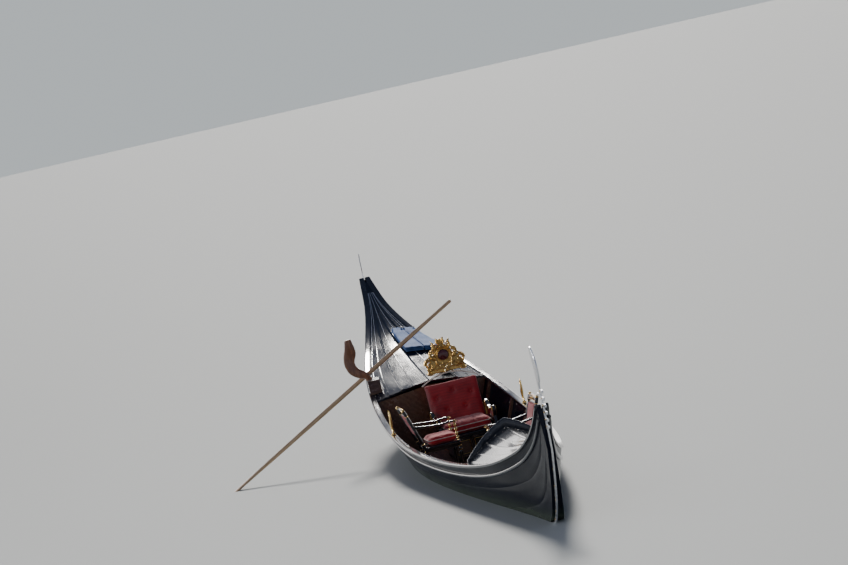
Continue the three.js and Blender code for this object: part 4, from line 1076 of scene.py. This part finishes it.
MEDAL_RING = [
    (0.057, -0.004), (0.059, 0.008), (0.063, 0.014), (0.069, 0.014), (0.073, 0.008), (0.077, 0.012),
    (0.083, 0.012), (0.087, 0.005), (0.087, -0.006),
]
PEARL = [(0.001, -0.006), (0.0045, -0.004), (0.0062, 0), (0.0045, 0.004), (0.001, 0.006)]
KNOT = [(0.001, -0.012), (0.01, -0.008), (0.0125, 0), (0.009, 0.007), (0.001, 0.009)]
MAROON = lacquer("medal_maroon", (0.05, 0.008, 0.012), (0.12, 0.02, 0.024), (0.08, 0.2), 0.5)
PALE_GILT = gilding("pale_gilt", (0.95, 0.8, 0.5), (0.4, 0.24, 0.1))
CREST_LEAN = (1, 0, -BACK["lean"])


def crest_place(points, out=0.0):
    """Crest points (across, up), `out` metres in front of the leaning plane above the back."""
    points = np.asarray(points, float)
    forward = points[..., 2] if points.shape[-1] == 3 else out
    x = back_middle(BACK["high"]) - BACK["lean"] * points[..., 1] + forward
    return np.stack([x, SEAT_Y + points[..., 0], CREST["low"] + points[..., 1]], -1)


def carve(path, wide, deep, sides=10):
    """A carved member along the path, on both faces and on both halves of the crest."""
    path = path if np.shape(path)[1] == 3 else np.c_[path, np.full(len(path), 0.011)]
    for mirror in (1, -1):
        for face in (1, -1):
            crest.grid(sweep(crest_place(path * [mirror, 1, face]), wide, deep, CREST_LEAN, sides))


half = CREST_OUTLINE * [CREST["width"] / 2, CREST["height"]]
loop = np.concatenate([half, half[::-1][:-1] * [-1, 1]])
centre = np.array([0, 0.14])
crest = Shape().grid([crest_place(centre + (loop - centre) * shrink, out) for shrink, out in PLATE_LAYERS])
taper = np.linspace(1, 0.45, 60)
for curl, wide, deep in SCROLLS:
    carve(spiral(*curl), wide * taper, deep * taper)
for points, wide in STEMS:
    carve(curve_through(points, 50), wide, 0.01 * np.sin(np.linspace(0.4, 2.6, 50)))
t = np.linspace(0, 1, 36)
swell = np.sin(np.pi * t**0.8) ** 0.7 * (1 + 0.16 * np.cos(26 * t))
for points, size in LEAVES:
    rise = np.c_[curve_through(points, 36), 0.012 + 0.008 * np.sin(np.pi * t)]
    carve(rise, 0.006 + 0.004 * swell, size * 0.75 * swell + 0.002, 12)
t = np.linspace(0, 1, 24)
swell = np.linspace(0.35, 1, 24) ** 0.8 * np.sqrt(np.clip(1 - t**8, 0.02, 1))
for k in range(-3, 4):
    a = np.radians(90 + k * 21)
    lobe = [0, 0.312] + np.linspace(0.004, 0.055 - 0.004 * abs(k), 24)[:, None] * [math.cos(a), math.sin(a)]
    for face in (1, -1):
        crest.grid(sweep(crest_place(lobe, face * 0.014), 0.009 * swell, 0.0095 * swell, CREST_LEAN, 10))
for face in (1, -1):
    at = crest_place(MEDAL, face * 0.012)
    axis = (face, 0, 0)
    crest.grid(lathe(at, BOSS, 40, axis), paint=1)
    crest.grid(lathe(at, MEDAL_RING, 48, axis))
    for a in np.linspace(0, 2 * np.pi, 30, endpoint=False):
        pearl = (MEDAL[0] + 0.093 * math.cos(a), MEDAL[1] + 0.093 * math.sin(a))
        crest.grid(lathe(crest_place(pearl, face * 0.013), PEARL, 10, axis))
    t = np.linspace(0, 2 * np.pi, 40)
    for mirror in (1, -1):
        across = 0.034 - 0.03 * np.cos(t)
        bow = np.c_[mirror * across, 0.062 + 0.02 * np.sin(t) + 0.3 * across]
        crest.grid(sweep(crest_place(bow, face * 0.02), 0.0085, 0.0035, (1, 0, 0), 8), paint=2)
        tail = curve_through(np.array([(0, 62), (20, 40), (30, 20), (50, 6)]) / 1000 * [mirror, 1], 24)
        crest.grid(sweep(crest_place(tail, face * 0.017), 0.008, 0.003, (1, 0, 0), 8), paint=2)
    crest.grid(lathe(crest_place((0, 0.062), face * 0.018), KNOT, 14, axis), paint=2)
crest.make("carved_crest", [GILT, MAROON, PALE_GILT], stands_for=("seat_crest",), slot="gilt", angle=50)

# Side chairs
# Two small lacquered armchairs face inboard. They have turned legs, beaded brass-coloured arm
# posts and a leaning back whose rail carries gilding. Their pads are stuffed like the cushion.
CHAIR = {
    "width": 0.43, "depth": 0.38, "seat": 0.4, "back": 0.43, "lean": 0.15, "leg": 0.036, "rail": 0.06,
    "step": 0.06,
}
LEG_X, LEG_Y = (CHAIR["width"] - CHAIR["leg"]) / 2, (CHAIR["depth"] - CHAIR["leg"]) / 2
LEG_TURNED = [
    (0, 0.55), (0.03, 0.85), (0.06, 0.6), (0.1, 0.95), (0.14, 0.62), (0.4, 0.8), (0.7, 1.0), (0.78, 0.6),
    (0.82, 1.05), (0.86, 0.7), (0.93, 1.0), (1, 1.0),
]
BACK_TURNED = [(0, 1), (0.1, 1), (0.15, 0.7), (0.2, 1), (0.5, 0.85), (0.8, 1), (0.85, 0.7), (0.9, 1), (1, 1)]
POST_BEADED = [
    (0, 0.9), (0.06, 0.5), (0.16, 1.1), (0.26, 0.45), (0.38, 1.15), (0.5, 0.45), (0.62, 1.05), (0.72, 0.45),
    (0.84, 0.95), (0.93, 0.5), (1, 0.8),
]
KNOB = [(0.012, -0.012), (0.017, -0.004), (0.019, 0.004), (0.015, 0.012), (0.009, 0.016), (0.001, 0.019)]
RING_TURNED = [(0.8, -0.004), (1.12, -0.002), (1.12, 0.002), (0.8, 0.004)]


def polished_metal():
    """Fine brush lines, cloudy stains and darker spots, with shallow dents."""
    group, given, found = effect(
        "polished_metal",
        ("Where", "Stretch", "Metal colour", "Stain colour", "Spot colour", "Tarnish", "Shine", "Dull"),
        ("Base colour", "Gloss", "Height"),
    )
    where = given["Where"]
    lines = noise(group, where, 120, 3, 0.6, given["Stretch"])
    cloud = noise(group, where, 7, 5, 0.6)
    spots = ramp(group, noise(group, where, 34, 6, 0.7), [(0.56, 0), (0.72, 1)])
    stains = maths(group, "MULTIPLY", ramp(group, cloud, [(0.45, 0), (0.75, 1)]), given["Tarnish"])
    colour = mix(group, stains, given["Metal colour"], given["Stain colour"])
    colour = mix(group, maths(group, "MULTIPLY", spots, given["Tarnish"]), colour, given["Spot colour"])
    group.links.new(colour, found["Base colour"])
    both = maths(group, "MULTIPLY", maths(group, "ADD", lines, cloud), 0.5)
    group.links.new(between(group, both, 0.3, 0.75, given["Shine"], given["Dull"]), found["Gloss"])
    group.links.new(maths(group, "ADD", cloud, maths(group, "MULTIPLY", lines, 0.08)), found["Height"])
    return group


POLISH = polished_metal()


def metal(name, colour, stain, gloss, brush, dents):
    """Metal whose brush lines run along the axis that is stretched least."""
    values = {"Stretch": brush, "Metal colour": colour, "Stain colour": stain, "Tarnish": 0.35}
    values.update({"Spot colour": tuple(c * 0.6 for c in stain), "Shine": gloss[0], "Dull": gloss[1]})
    made = material(name, POLISH, values, metallic=1.0, roughness=0.2)
    relief(made, dents, 0.004)
    return made


BRASS = metal("brass", (0.88, 0.62, 0.25), (0.35, 0.2, 0.07), (0.12, 0.34), (1, 1, 1), 0.3)


def turned_bar(shape, start, end, radius, profile, paint=0, rings=()):
    """A turned bar between two points, whose radius follows (share of length, share of radius)."""
    start, end = np.array(start, float), np.array(end, float)
    share = curve_through(profile, 90)
    path = start + (np.clip(share[:, :1], 0, 1) + np.linspace(0, 1e-5, 90)[:, None]) * (end - start)
    shape.grid(sweep(path, radius * share[:, 1], radius * share[:, 1], (1, 0, 0), 14), paint=paint)
    axis = (end - start) / np.linalg.norm(end - start)
    for s in rings:
        ring = [(radius * r, h) for r, h in RING_TURNED]
        shape.grid(lathe(start + s * (end - start), ring, 16, axis), paint=1)


def back_line(y, side, up):
    """How far across the chair's back stands, `up` metres above its seat."""
    return y + side * (LEG_Y + CHAIR["lean"] * up / CHAIR["back"])


def chair_corner(shape, x, y, seat, low, side):
    """The legs, the back post and the arm at one end of a chair, whose middle plane is y."""
    for way in (-1, 1):
        head = (x, y + way * LEG_Y, seat - 0.02)
        foot = (x, head[1] - (side * CHAIR["step"] if way == side else 0), low)
        turned_bar(shape, foot, head, 0.0185, LEG_TURNED, rings=(0.79, 0.9))
    top = seat + CHAIR["back"]
    foot = (x, back_line(y, side, 0), seat - 0.02)
    head = (x, back_line(y, side, CHAIR["back"] - 0.02), top - 0.02)
    turned_bar(shape, foot, head, 0.018, BACK_TURNED, rings=(0.13, 0.87))
    shape.grid(lathe((x, back_line(y, side, CHAIR["back"]), top - 0.012), KNOB, 18), paint=2)
    front = y - side * (LEG_Y - 0.004)
    turned_bar(shape, (x, front, seat), (x, front, seat + 0.19), 0.0165, POST_BEADED, paint=2)
    arm = [
        (x, front - side * 0.012, seat + 0.192), (x, front + side * 0.03, seat + 0.204), (x, y, seat + 0.197),
        (x, back_line(y, side, 0.22) - side * 0.03, seat + 0.222), (x, back_line(y, side, 0.23), seat + 0.232),
    ]
    shape.grid(sweep(curve_through(arm, 30), 0.017, 0.011, (1, 0, 0), 14, 0.7))
    curl = spiral(0.006, 0.195, 0.02, 0.02 * math.exp(-0.52 * np.pi), 0, 1.3, 40)
    for face in (-1, 1):
        line = np.c_[np.full(40, x + face * 0.016), front - side * curl[:, 0], seat + curl[:, 1]]
        shape.grid(sweep(line, 0.0032, 0.0032, (1, 0, 0), 8), paint=2)


def chair_rail(shape, x, y, seat, side):
    """The back's top rail, a bar with a squarish section that arches by 6 mm, with its gilding."""
    top = seat + CHAIR["back"]
    u, t = np.linspace(-1, 1, 41)[:, None], np.linspace(0, 2 * np.pi, 14, endpoint=False)
    high = CHAIR["rail"] / 2 - 0.004
    z = top - CHAIR["rail"] / 2 - 0.004 + 0.006 * (1 - u * u) + high * power(np.sin(t), 0.5)
    across = back_line(y, side, z - seat) + side * 0.0125 * power(np.cos(t), 0.6)
    shape.grid(np.stack([x + u * (LEG_X - 0.012) + 0 * z, across, z], 2))
    u = np.linspace(-1, 1, 30)
    for z in (top - CHAIR["rail"] + 0.008, top - 0.01):
        front = back_line(y, side, z - seat) - side * 0.0125
        line = np.c_[x + u * (LEG_X - 0.02), 0 * u + front, z + 0.006 * (1 - u * u)]
        shape.grid(sweep(line, 0.0028, 0.0028, (0, 1, 0), 6), paint=1)
    wide = 0.002 + 0.009 * np.sin(np.linspace(0, np.pi, 24))
    for mirror in (-1, 1):
        leaf = [(0, -0.035, 0.014, 0.034), (0.03, -0.03, 0.016, 0.026), (0.07, -0.03, 0.014, 0.034)]
        line = [(x + mirror * a, back_line(y, side, top + b - seat) - side * c, top - d) for a, b, c, d in leaf]
        shape.grid(sweep(curve_through(line, 24), wide, 0.004, (0, 0, 1), 10), paint=1)


for name, side in SIDES.items():
    low, high = np.array(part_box("chair_frame_" + name))
    x = (low[0] + high[0]) / 2
    y = (high[1] if side < 0 else low[1]) + side * CHAIR["depth"] / 2
    seat = low[2] + CHAIR["seat"]
    chair = Shape().grid(board((x, y, seat - 0.014), (CHAIR["width"], CHAIR["depth"], 0.028), 0.008))
    for way in (-1, 1):
        rail = (x + way * (LEG_X - 0.002), y, seat - 0.045)
        chair.grid(board(rail, (0.022, CHAIR["depth"] - 0.06, 0.036)))
        chair_corner(chair, x + way * LEG_X, y, seat, low[2], side)
    chair_rail(chair, x, y, seat, side)
    paints = [SEAT_BLACK, GILT, BRASS]
    chair.make("side_chair_" + name, paints, stands_for=("chair_frame_" + name,), slot="inner_wood")

    low, high = np.array(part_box("chair_cushion_" + name))
    mid, size = (low + high) / 2, high - low
    start = pad_rows(mid[0], mid[1], seat + 0.001, size[0], size[1], 0.078, 0.009)
    pad = stuffed("chair_pad_" + name, start, 0.0075, 0.012, ("chair_cushion_" + name,))
    ring = rounded_ring(size[0], size[1], 0.05, 20)
    piping("chair_pad_cord_" + name, pad, ring, (mid[0], mid[1], seat + 0.058), 0.004)

    low, high = np.array(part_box("chair_back_" + name))
    wide = high[0] - low[0]
    rows = []
    for share in (0.02, 0.05, 0.2, 0.5, 0.8, 0.95, 0.98):
        z = low[2] + share * (high[2] - low[2])
        ring = rounded_ring(wide - 0.018, 0.0098 if share in (0.02, 0.98) else 0.014, 0.006, 5)
        rows.append(level_ring(ring, (x, back_line(y, side, z - seat)), z))
    pad = stuffed("chair_back_pad_" + name, rows, 0.0065, 0.009, ("chair_back_" + name,))
    reach = np.linspace(-0.96, 0.96, 20) * wide / 2
    edge = np.c_[x + reach, 0 * reach + back_line(y, side, high[2] - seat), 0 * reach + high[2] - 0.004]
    cord = Shape().grid(sweep(laid_on(pad, edge, 0.001)[1:-1], 0.005, 0.005, (0, 1, 0), 8))
    cord.make("chair_back_cord_" + name, [WHITE_CORD], slot="red_cloth")

# Crutch
# The oar's crutch is carved from one piece of walnut, bends out and up, and has a hollow along its
# fore and aft faces. Its foot stands in the block, and its cut top is pale, new wood.
CRUTCH_X = -2.75
CRUTCH_ROWS = np.array([
    [-22, 2, 52, 34], [-20, 24, 55, 36], [6, 60, 57, 40], [66, 92, 56, 50], [120, 138, 48, 56],
    [142, 190, 40, 58], [148, 232, 34, 60], [138, 285, 31, 64], [122, 330, 31, 68], [114, 380, 32, 60],
    [113, 425, 31, 50], [113, 470, 28, 40], [113, 484, 24, 34],
]) / 1000
CUT_TOP = ((106, 0.985), (107, 0.98), (108, 0.93), (109, 0.8))
WALNUT = wood("walnut", (0.09, 0.03, 0.014), (0.3, 0.12, 0.055), (1, 1, 0.12), 22, (0.2, 0.4), 0.5)
OAR_WOOD = wood("oar_wood", (0.42, 0.24, 0.11), (0.78, 0.56, 0.34), (1, 0.05, 0.05), 30, (0.25, 0.4), 0.4)
h = hull(CRUTCH_X)
RIM_Y = float(h["middle"] - h["half"])
BLOCK_TOP = float(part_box("crutch_block")[1][2])
fine = curve_through(CRUTCH_ROWS, 110)
path = np.c_[np.full(110, CRUTCH_X), RIM_Y - fine[:, 0], BLOCK_TOP + fine[:, 1] + 0.002]
rows = sweep(path, fine[:, 2], fine[:, 3], (1, 0, 0), 28, 0.75)
t = np.linspace(0, 2 * np.pi, 28, endpoint=False)
share = np.linspace(0, 1, 110)
hollow = 1 - 0.12 * np.exp(-((np.sin(t) / 0.35) ** 2))[None] * (np.sin(np.pi * share) ** 0.5)[:, None]
rows = path[:, None] + (rows - path[:, None]) * hollow[..., None]
crutch = Shape().grid(rows[:107])
crutch.grid([path[k] + (rows[k] - path[k]) * shrink for k, shrink in CUT_TOP], paint=1)
crutch.make("carved_crutch", [WALNUT, OAR_WOOD], stands_for=("crutch",), slot="walnut", angle=45)

# Oar
# One long oar of pale wood rests in the crutch: a round loom with a slim grip, then a long narrow
# blade. Its grain follows its own length. Tables: metres from the crutch, half width, half depth.
OAR = {"pivot": (-2.862, RIM_Y - 0.002, BLOCK_TOP + 0.038), "dip": math.radians(28.2)}
OAR_ALONG = np.array([0, -math.cos(OAR["dip"]), -math.sin(OAR["dip"])])
OAR_SHAFT = [
    (-1.26, 0.008, 0.008), (-1.255, 0.0165, 0.0165), (-1.2, 0.019, 0.019), (-0.94, 0.019, 0.019),
    (-0.63, 0.024, 0.024), (0, 0.0242, 0.0242), (0.7, 0.024, 0.024), (1.45, 0.024, 0.02),
]
OAR_FLAT = [
    (1.4503, 0.023, 0.019), (1.56, 0.033, 0.018), (1.71, 0.047, 0.016), (2.07, 0.07, 0.013),
    (2.4, 0.0705, 0.011), (2.64, 0.07, 0.01), (2.69, 0.06, 0.008), (2.7, 0.045, 0.006),
]
OAR_GRAIN = wood("oar_grain", (0.36, 0.2, 0.1), (0.72, 0.5, 0.3), (0.06, 1, 1), 60, (0.25, 0.42), 0.35, "UV")
for name, table, stands_for in (("oar_shaft", OAR_SHAFT, "oar_loom"), ("oar_flat", OAR_FLAT, "oar_blade")):
    fine = curve_through(table, 120)
    path = np.array(OAR["pivot"]) + fine[:, :1] * OAR_ALONG
    piece = Shape().grid(sweep(path, fine[:, 1], fine[:, 2], (1, 0, 0), 24))
    piece.make(name, [OAR_GRAIN], body="oar", stands_for=(stands_for,), slot="pale_wood", angle=50)

# Irons
# Each end wears a plate of bright iron, riveted on in brass: a strap down the stem and, above it, a
# hat-shaped head with six teeth and one behind at the bow, or a plain curved spike at the stern.
HAT = [
    (4, -30), (52, -30), (60, 60), (58, 150), (74, 215), (128, 250), (150, 330), (138, 420), (92, 478),
    (20, 530), (-34, 512), (-8, 420), (8, 330), (4, 200), (0, 100),
]
SPIKE = [(-6, -40), (-34, -30), (-44, 90), (-20, 210), (18, 300), (34, 290), (6, 190), (-10, 90), (-4, 10)]
TOOTH = np.array([
    (0, -17), (90, -16), (111, -13), (118, -5), (118, 5), (111, 13), (90, 16), (0, 17),
]) / 1000
BACK_TOOTH = np.array([(-115, 98), (15, 93), (15, 127), (-115, 122)]) / 1000
TOOTH_RIVET = [(0.007, -0.003), (0.006, 0.002), (0.003, 0.0035), (0.001, 0.0038)]
STRAP_RIVET = [(0.006, -0.003), (0.005, 0.002), (0.0025, 0.0035), (0.001, 0.0038)]
END_X = BOAT_HALF + 0.06
IRON = metal("bright_iron", (0.95, 0.95, 0.97), (0.55, 0.53, 0.5), (0.16, 0.36), (1, 1, 0.06), 0.25)


def plate(shape, outline, thick):
    """A flat plate in the boat's middle plane: the x, z outline, drawn in at both faces' edges."""
    run = np.roll(outline, -1, 0) - np.roll(outline, 1, 0)
    out = np.c_[run[:, 1], -run[:, 0]] / np.maximum(np.linalg.norm(run, axis=1)[:, None], 1e-9)
    after = np.roll(outline, -1, 0)
    out *= np.sign((outline[:, 0] * after[:, 1] - after[:, 0] * outline[:, 1]).sum())
    edge, half = 0.0025, thick / 2
    layers = [(-half, edge), (-half + 0.4 * edge, 0.3 * edge), (-half + edge, 0)]
    layers += [(-y, inset) for y, inset in layers[::-1]]
    rows = [upright(outline - out * inset, (0, 0, 0), y) for y, inset in layers]
    shape.grid(rows, caps="flat")


def stem_line(end, foot):
    """Places (x, z) down the middle of the boat's end, and the direction out of the stem at each."""
    xs = np.append(np.linspace(foot, BOAT_HALF, 40), END_X)
    zs = np.array(hull(end * xs)["keel"])
    zs[-1] = hull(end * BOAT_HALF)["rim"] - 0.008
    slope = np.gradient(np.c_[xs, zs], axis=0)
    return np.c_[xs, zs], np.c_[slope[:, 1], -slope[:, 0]] / np.linalg.norm(slope, axis=1)[:, None]


def strap(end, foot, near, far):
    """The strap's outline: the stem's line moved out by `near`, and back moved out by `far`."""
    line, out = stem_line(end, foot)
    return np.concatenate([line + out * near, (line + out * far)[::-1]]) * [end, 1]


def head(points, count, end):
    """A closed curve through the head's points, in millimetres from the top of the boat's end."""
    closed = np.array(points + points[:1]) / 1000
    return curve_through(closed, count)[:-1] + [end * END_X, float(hull(end * BOAT_HALF)["rim"])]


def rivets(x, z, profile):
    """A turned brass head on each face of the iron."""
    for face in (-1, 1):
        iron.grid(lathe((x, face * 0.007, z), profile, 14, (0, face, 0)), paint=1)


iron = Shape()
tip_z = float(hull(BOAT_HALF)["rim"])
plate(iron, strap(1, 4.3, 0.009, 0.046), 0.014)
plate(iron, head(HAT, 140, 1), 0.014)
for i in range(6):
    x, z = END_X + 0.04 - max(0, i - 2) * 0.018, tip_z + 0.15 - i * 0.062
    plate(iron, TOOTH + [x, z], 0.0138)
    rivets(x + 0.02, z, TOOTH_RIVET)
plate(iron, BACK_TOOTH + [END_X, tip_z], 0.0138)
line, out = stem_line(1, 4.3)
for x, z in (line + out * 0.028)[4:38:5]:
    rivets(x, z, STRAP_RIVET)
iron.make("toothed_iron", [IRON, BRASS], stands_for=("bow_iron",), slot="bright_iron", angle=25)
stern = Shape()
plate(stern, strap(-1, 4.5, 0.009, 0.036), 0.012)
plate(stern, head(SPIKE, 80, -1), 0.012)
stern.make("spiked_iron", [IRON], stands_for=("stern_iron",), slot="bright_iron", angle=25)

# Sea horses
# A cast brass sea horse is screwed to each gunwale: a plinth, a ringed body that curls forward, a
# mane of fins and a snout. Rows: forward, up, half width across, half depth, in millimetres.
HORSE_X = -0.76
HORSE_ROWS = np.array([
    [-6, 22, 12, 10], [-22, 60, 16, 12], [-14, 110, 22, 16], [10, 150, 20, 14], [22, 190, 14, 11],
    [14, 222, 16, 12], [38, 236, 10, 8], [58, 226, 6, 5],
]) / 1000
PLINTH = [(0.026, 0.0), (0.027, 0.004), (0.024, 0.008), (0.025, 0.012), (0.018, 0.017), (0.013, 0.022)]
EYE = [(0.004, -0.002), (0.0035, 0.002), (0.001, 0.004)]
fine = curve_through(HORSE_ROWS, 120)
rings = 1 + 0.07 * np.sin(np.linspace(0, 46 * np.pi, 120)) * np.linspace(1, 0.2, 120)
tail = spiral(0.012, 0.04, 0.026, 0.005, -0.25, 1.1, 50)
tail_thick = np.linspace(0.009, 0.004, 50)
h = hull(HORSE_X)
for name, side in SIDES.items():
    at = np.array([HORSE_X, h["middle"] + side * (h["half"] - 0.012), h["rim"] + GUNWALE["high"] + 0.002])
    horse = Shape().grid(lathe(at, PLINTH, 28))
    path = upright(fine, at)
    horse.grid(sweep(path, fine[:, 3] * rings, fine[:, 2] * rings, (0, 1, 0), 20))
    horse.grid(sweep(upright(tail, at), tail_thick, tail_thick, (0, 1, 0), 12))
    for j in range(30, 111, 9):
        run = path[min(j + 2, 119)] - path[j - 2]
        run /= np.linalg.norm(run)
        outward = np.array([-run[2], 0, run[0]])
        tip = path[j] + outward * (fine[j, 2] + 0.014) + run * 0.008
        fin = np.linspace(path[j] + outward * fine[j, 2] * 0.7, tip, 8)
        horse.grid(sweep(fin, np.linspace(0.004, 0.0012, 8), np.linspace(0.009, 0.002, 8), (0, 1, 0), 8))
    for face in (-1, 1):
        horse.grid(lathe(path[100] + [0, face * 0.009, 0.004], EYE, 12, (0, face, 0)))
    stands_for = ("sea_horse_" + name,)
    horse.make("sea_horse_figure_" + name, [BRASS], stands_for=stands_for, slot="brass", angle=60)

# Folded cover
# The blue weather cover lies folded on the port slope of the stern deck, in two packets of four
# layers each. Pale toggles are tied at its corners.
COVER = {"start": -4.2, "end": -3.5, "thick": 0.056, "lift": 0.018, "layers": 4}
HALVES = [(0.02, 0.52), (0.545, 1.05)]
TOGGLES = [(-4.17, 0.06), (-4.17, 0.48), (-4.17, 0.58), (-4.17, 1.0), (-3.53, 1.0)]
TOGGLE = [(0.011, 0), (0.013, 0.004), (0.014, 0.009), (0.011, 0.014), (0.005, 0.017), (0.001, 0.0175)]
BLUE = cloth("blue_cover", (0.035, 0.11, 0.33), (0.09, 0.24, 0.56), 60, 0.06, (0.7, 0.8, 1), 0.72, 0.01)
BONE = lacquer("bone", (0.6, 0.56, 0.48), (0.8, 0.78, 0.7), (0.25, 0.4), 0.5)
xs = np.linspace(COVER["start"], COVER["end"], 60)[:, None]
t, s = np.linspace(0, 1, 60)[:, None], np.linspace(0, 1, 15)
h = hull(xs)
w = deck_half(h)
thick = COVER["thick"] / COVER["layers"]
ends = np.sqrt(np.maximum(0.02, 1 - np.abs(2 * t - 1) ** 14))
puff = thick * 0.49 * ends * np.sqrt(np.maximum(0.02, 1 - (2 * s - 1) ** 10))


def folded_layer(k, part, inner, outer):
    """Layer k of a packet: a flat pad thick * 0.49 sqrt(1 - (2 s - 1)^10) on the deck, whose edges and
    height wander by a few millimetres of sines."""
    a = inner + 0.004 * math.sin(9 * k + part) + 0.003 * np.sin(14 * t + k)
    b = outer - 0.006 * math.cos(7 * k + 2 * part) + 0.004 * np.sin(11 * t + 2 * k + part)
    u = a + (b - a) * s
    wave = 0.0022 * np.sin(17 * s + 5 * t + k) + 0.0018 * np.sin(23 * t + 3 * k + part)
    z = deck_top(h, w, RIDGE["stern"], u) + COVER["lift"] - 0.004 + (k + 0.5) * thick + wave
    y = h["middle"] + np.concatenate([u * w, (u * w)[:, ::-1]], 1)
    x = xs + 0.004 * math.sin(5 * k + 2 * part) * (2 * t - 1)
    return np.stack([x + 0 * y, y, np.concatenate([z - puff, (z + puff)[:, ::-1]], 1)], 2)


cover = Shape()
for part, (inner, outer) in enumerate(HALVES):
    for k in range(COVER["layers"]):
        cover.grid(folded_layer(k, part, inner, outer))
piece = cover.make("blue_folded_cover", [BLUE], stands_for=("folded_cover",), slot="blue_cover", angle=60)
toggles = Shape()
for x, u in TOGGLES:
    h = hull(x)
    w = deck_half(h)
    z = deck_top(h, w, RIDGE["stern"], u) + COVER["lift"] + COVER["thick"] - 0.004
    toggles.grid(lathe((x, float(h["middle"] + u * w), float(z)), TOGGLE, 18))
toggles.make("cover_toggles", [BONE], slot="blue_cover")

# Locker door
# The door in the bow bulkhead is a framed panel of the same varnished wood. It hangs on two brass
# hinges and has a brass ring pull.
low, high = np.array(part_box("bow_locker_door"))
mid, size = (low + high) / 2, high - low
door = Shape().grid(board(mid + [0.001, 0, 0], size * [0.6, 1, 1] - [0, 0.03, 0.03], 0.002))
for way in (-1, 1):
    door.grid(board(mid + [0, way * (size[1] / 2 - 0.03), 0], (size[0], 0.06, size[2]), 0.003))
    rail = mid + [0, 0, way * (size[2] / 2 - 0.03)]
    door.grid(board(rail, (size[0] - 0.001, size[1] - 0.12, 0.06), 0.003))
door.grid(board(mid - [0.002, 0, 0], size * [0.7, 1, 1] - [0, 0.16, 0.16]))
t = np.append(np.linspace(0, 2 * np.pi, 24, endpoint=False), 0)
pull = np.c_[np.full(25, low[0] - 0.004), low[1] + 0.04 + 0.014 * np.sin(t), mid[2] - 0.01 + 0.014 * np.cos(t)]
door.grid(sweep(pull, 0.0025, 0.0025, (1, 0, 0), 8), caps=False, paint=1)
HINGE = [(0.001, 0), (0.0055, 0.001), (0.0055, 0.039), (0.001, 0.04)]
for way in (-1, 1):
    x, y, z = low[0] - 0.002, high[1] - 0.006, mid[2] + way * 0.11
    door.grid(lathe((x, y, z - 0.02), HINGE, 14), paint=1)
    door.grid(board((x + 0.0015, y - 0.022, z), (0.003, 0.04, 0.034), 0.001), paint=1)
stands_for = ("bow_locker_door",)
door.make("panelled_door", [INNER_WOOD, BRASS], body="locker_door", stands_for=stands_for, slot="inner_wood")

# Thwart
# One varnished board crosses the boat ahead of the chairs, with rounded edges. Its ends are cut to
# the planking's curve.
low, high = np.array(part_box("thwart_bow"))
mid, size = (low + high) / 2, high - low
t = np.linspace(0, 2 * np.pi, 24, endpoint=False)
x = mid[0] + size[0] / 2 * power(np.cos(t), 0.25)
z = mid[2] + size[2] / 2 * power(np.sin(t), 0.5)
h = hull(x)
y = h["middle"] + np.linspace(-1, 1, 41)[:, None] * (outer_half(h, low[2]) - PLANK - 0.004)
Shape().grid(np.stack([x + 0 * y, y, z + 0 * y], 2)).make(
    "thwart_board", [INNER_WOOD], stands_for=("thwart_bow",), slot="inner_wood"
)
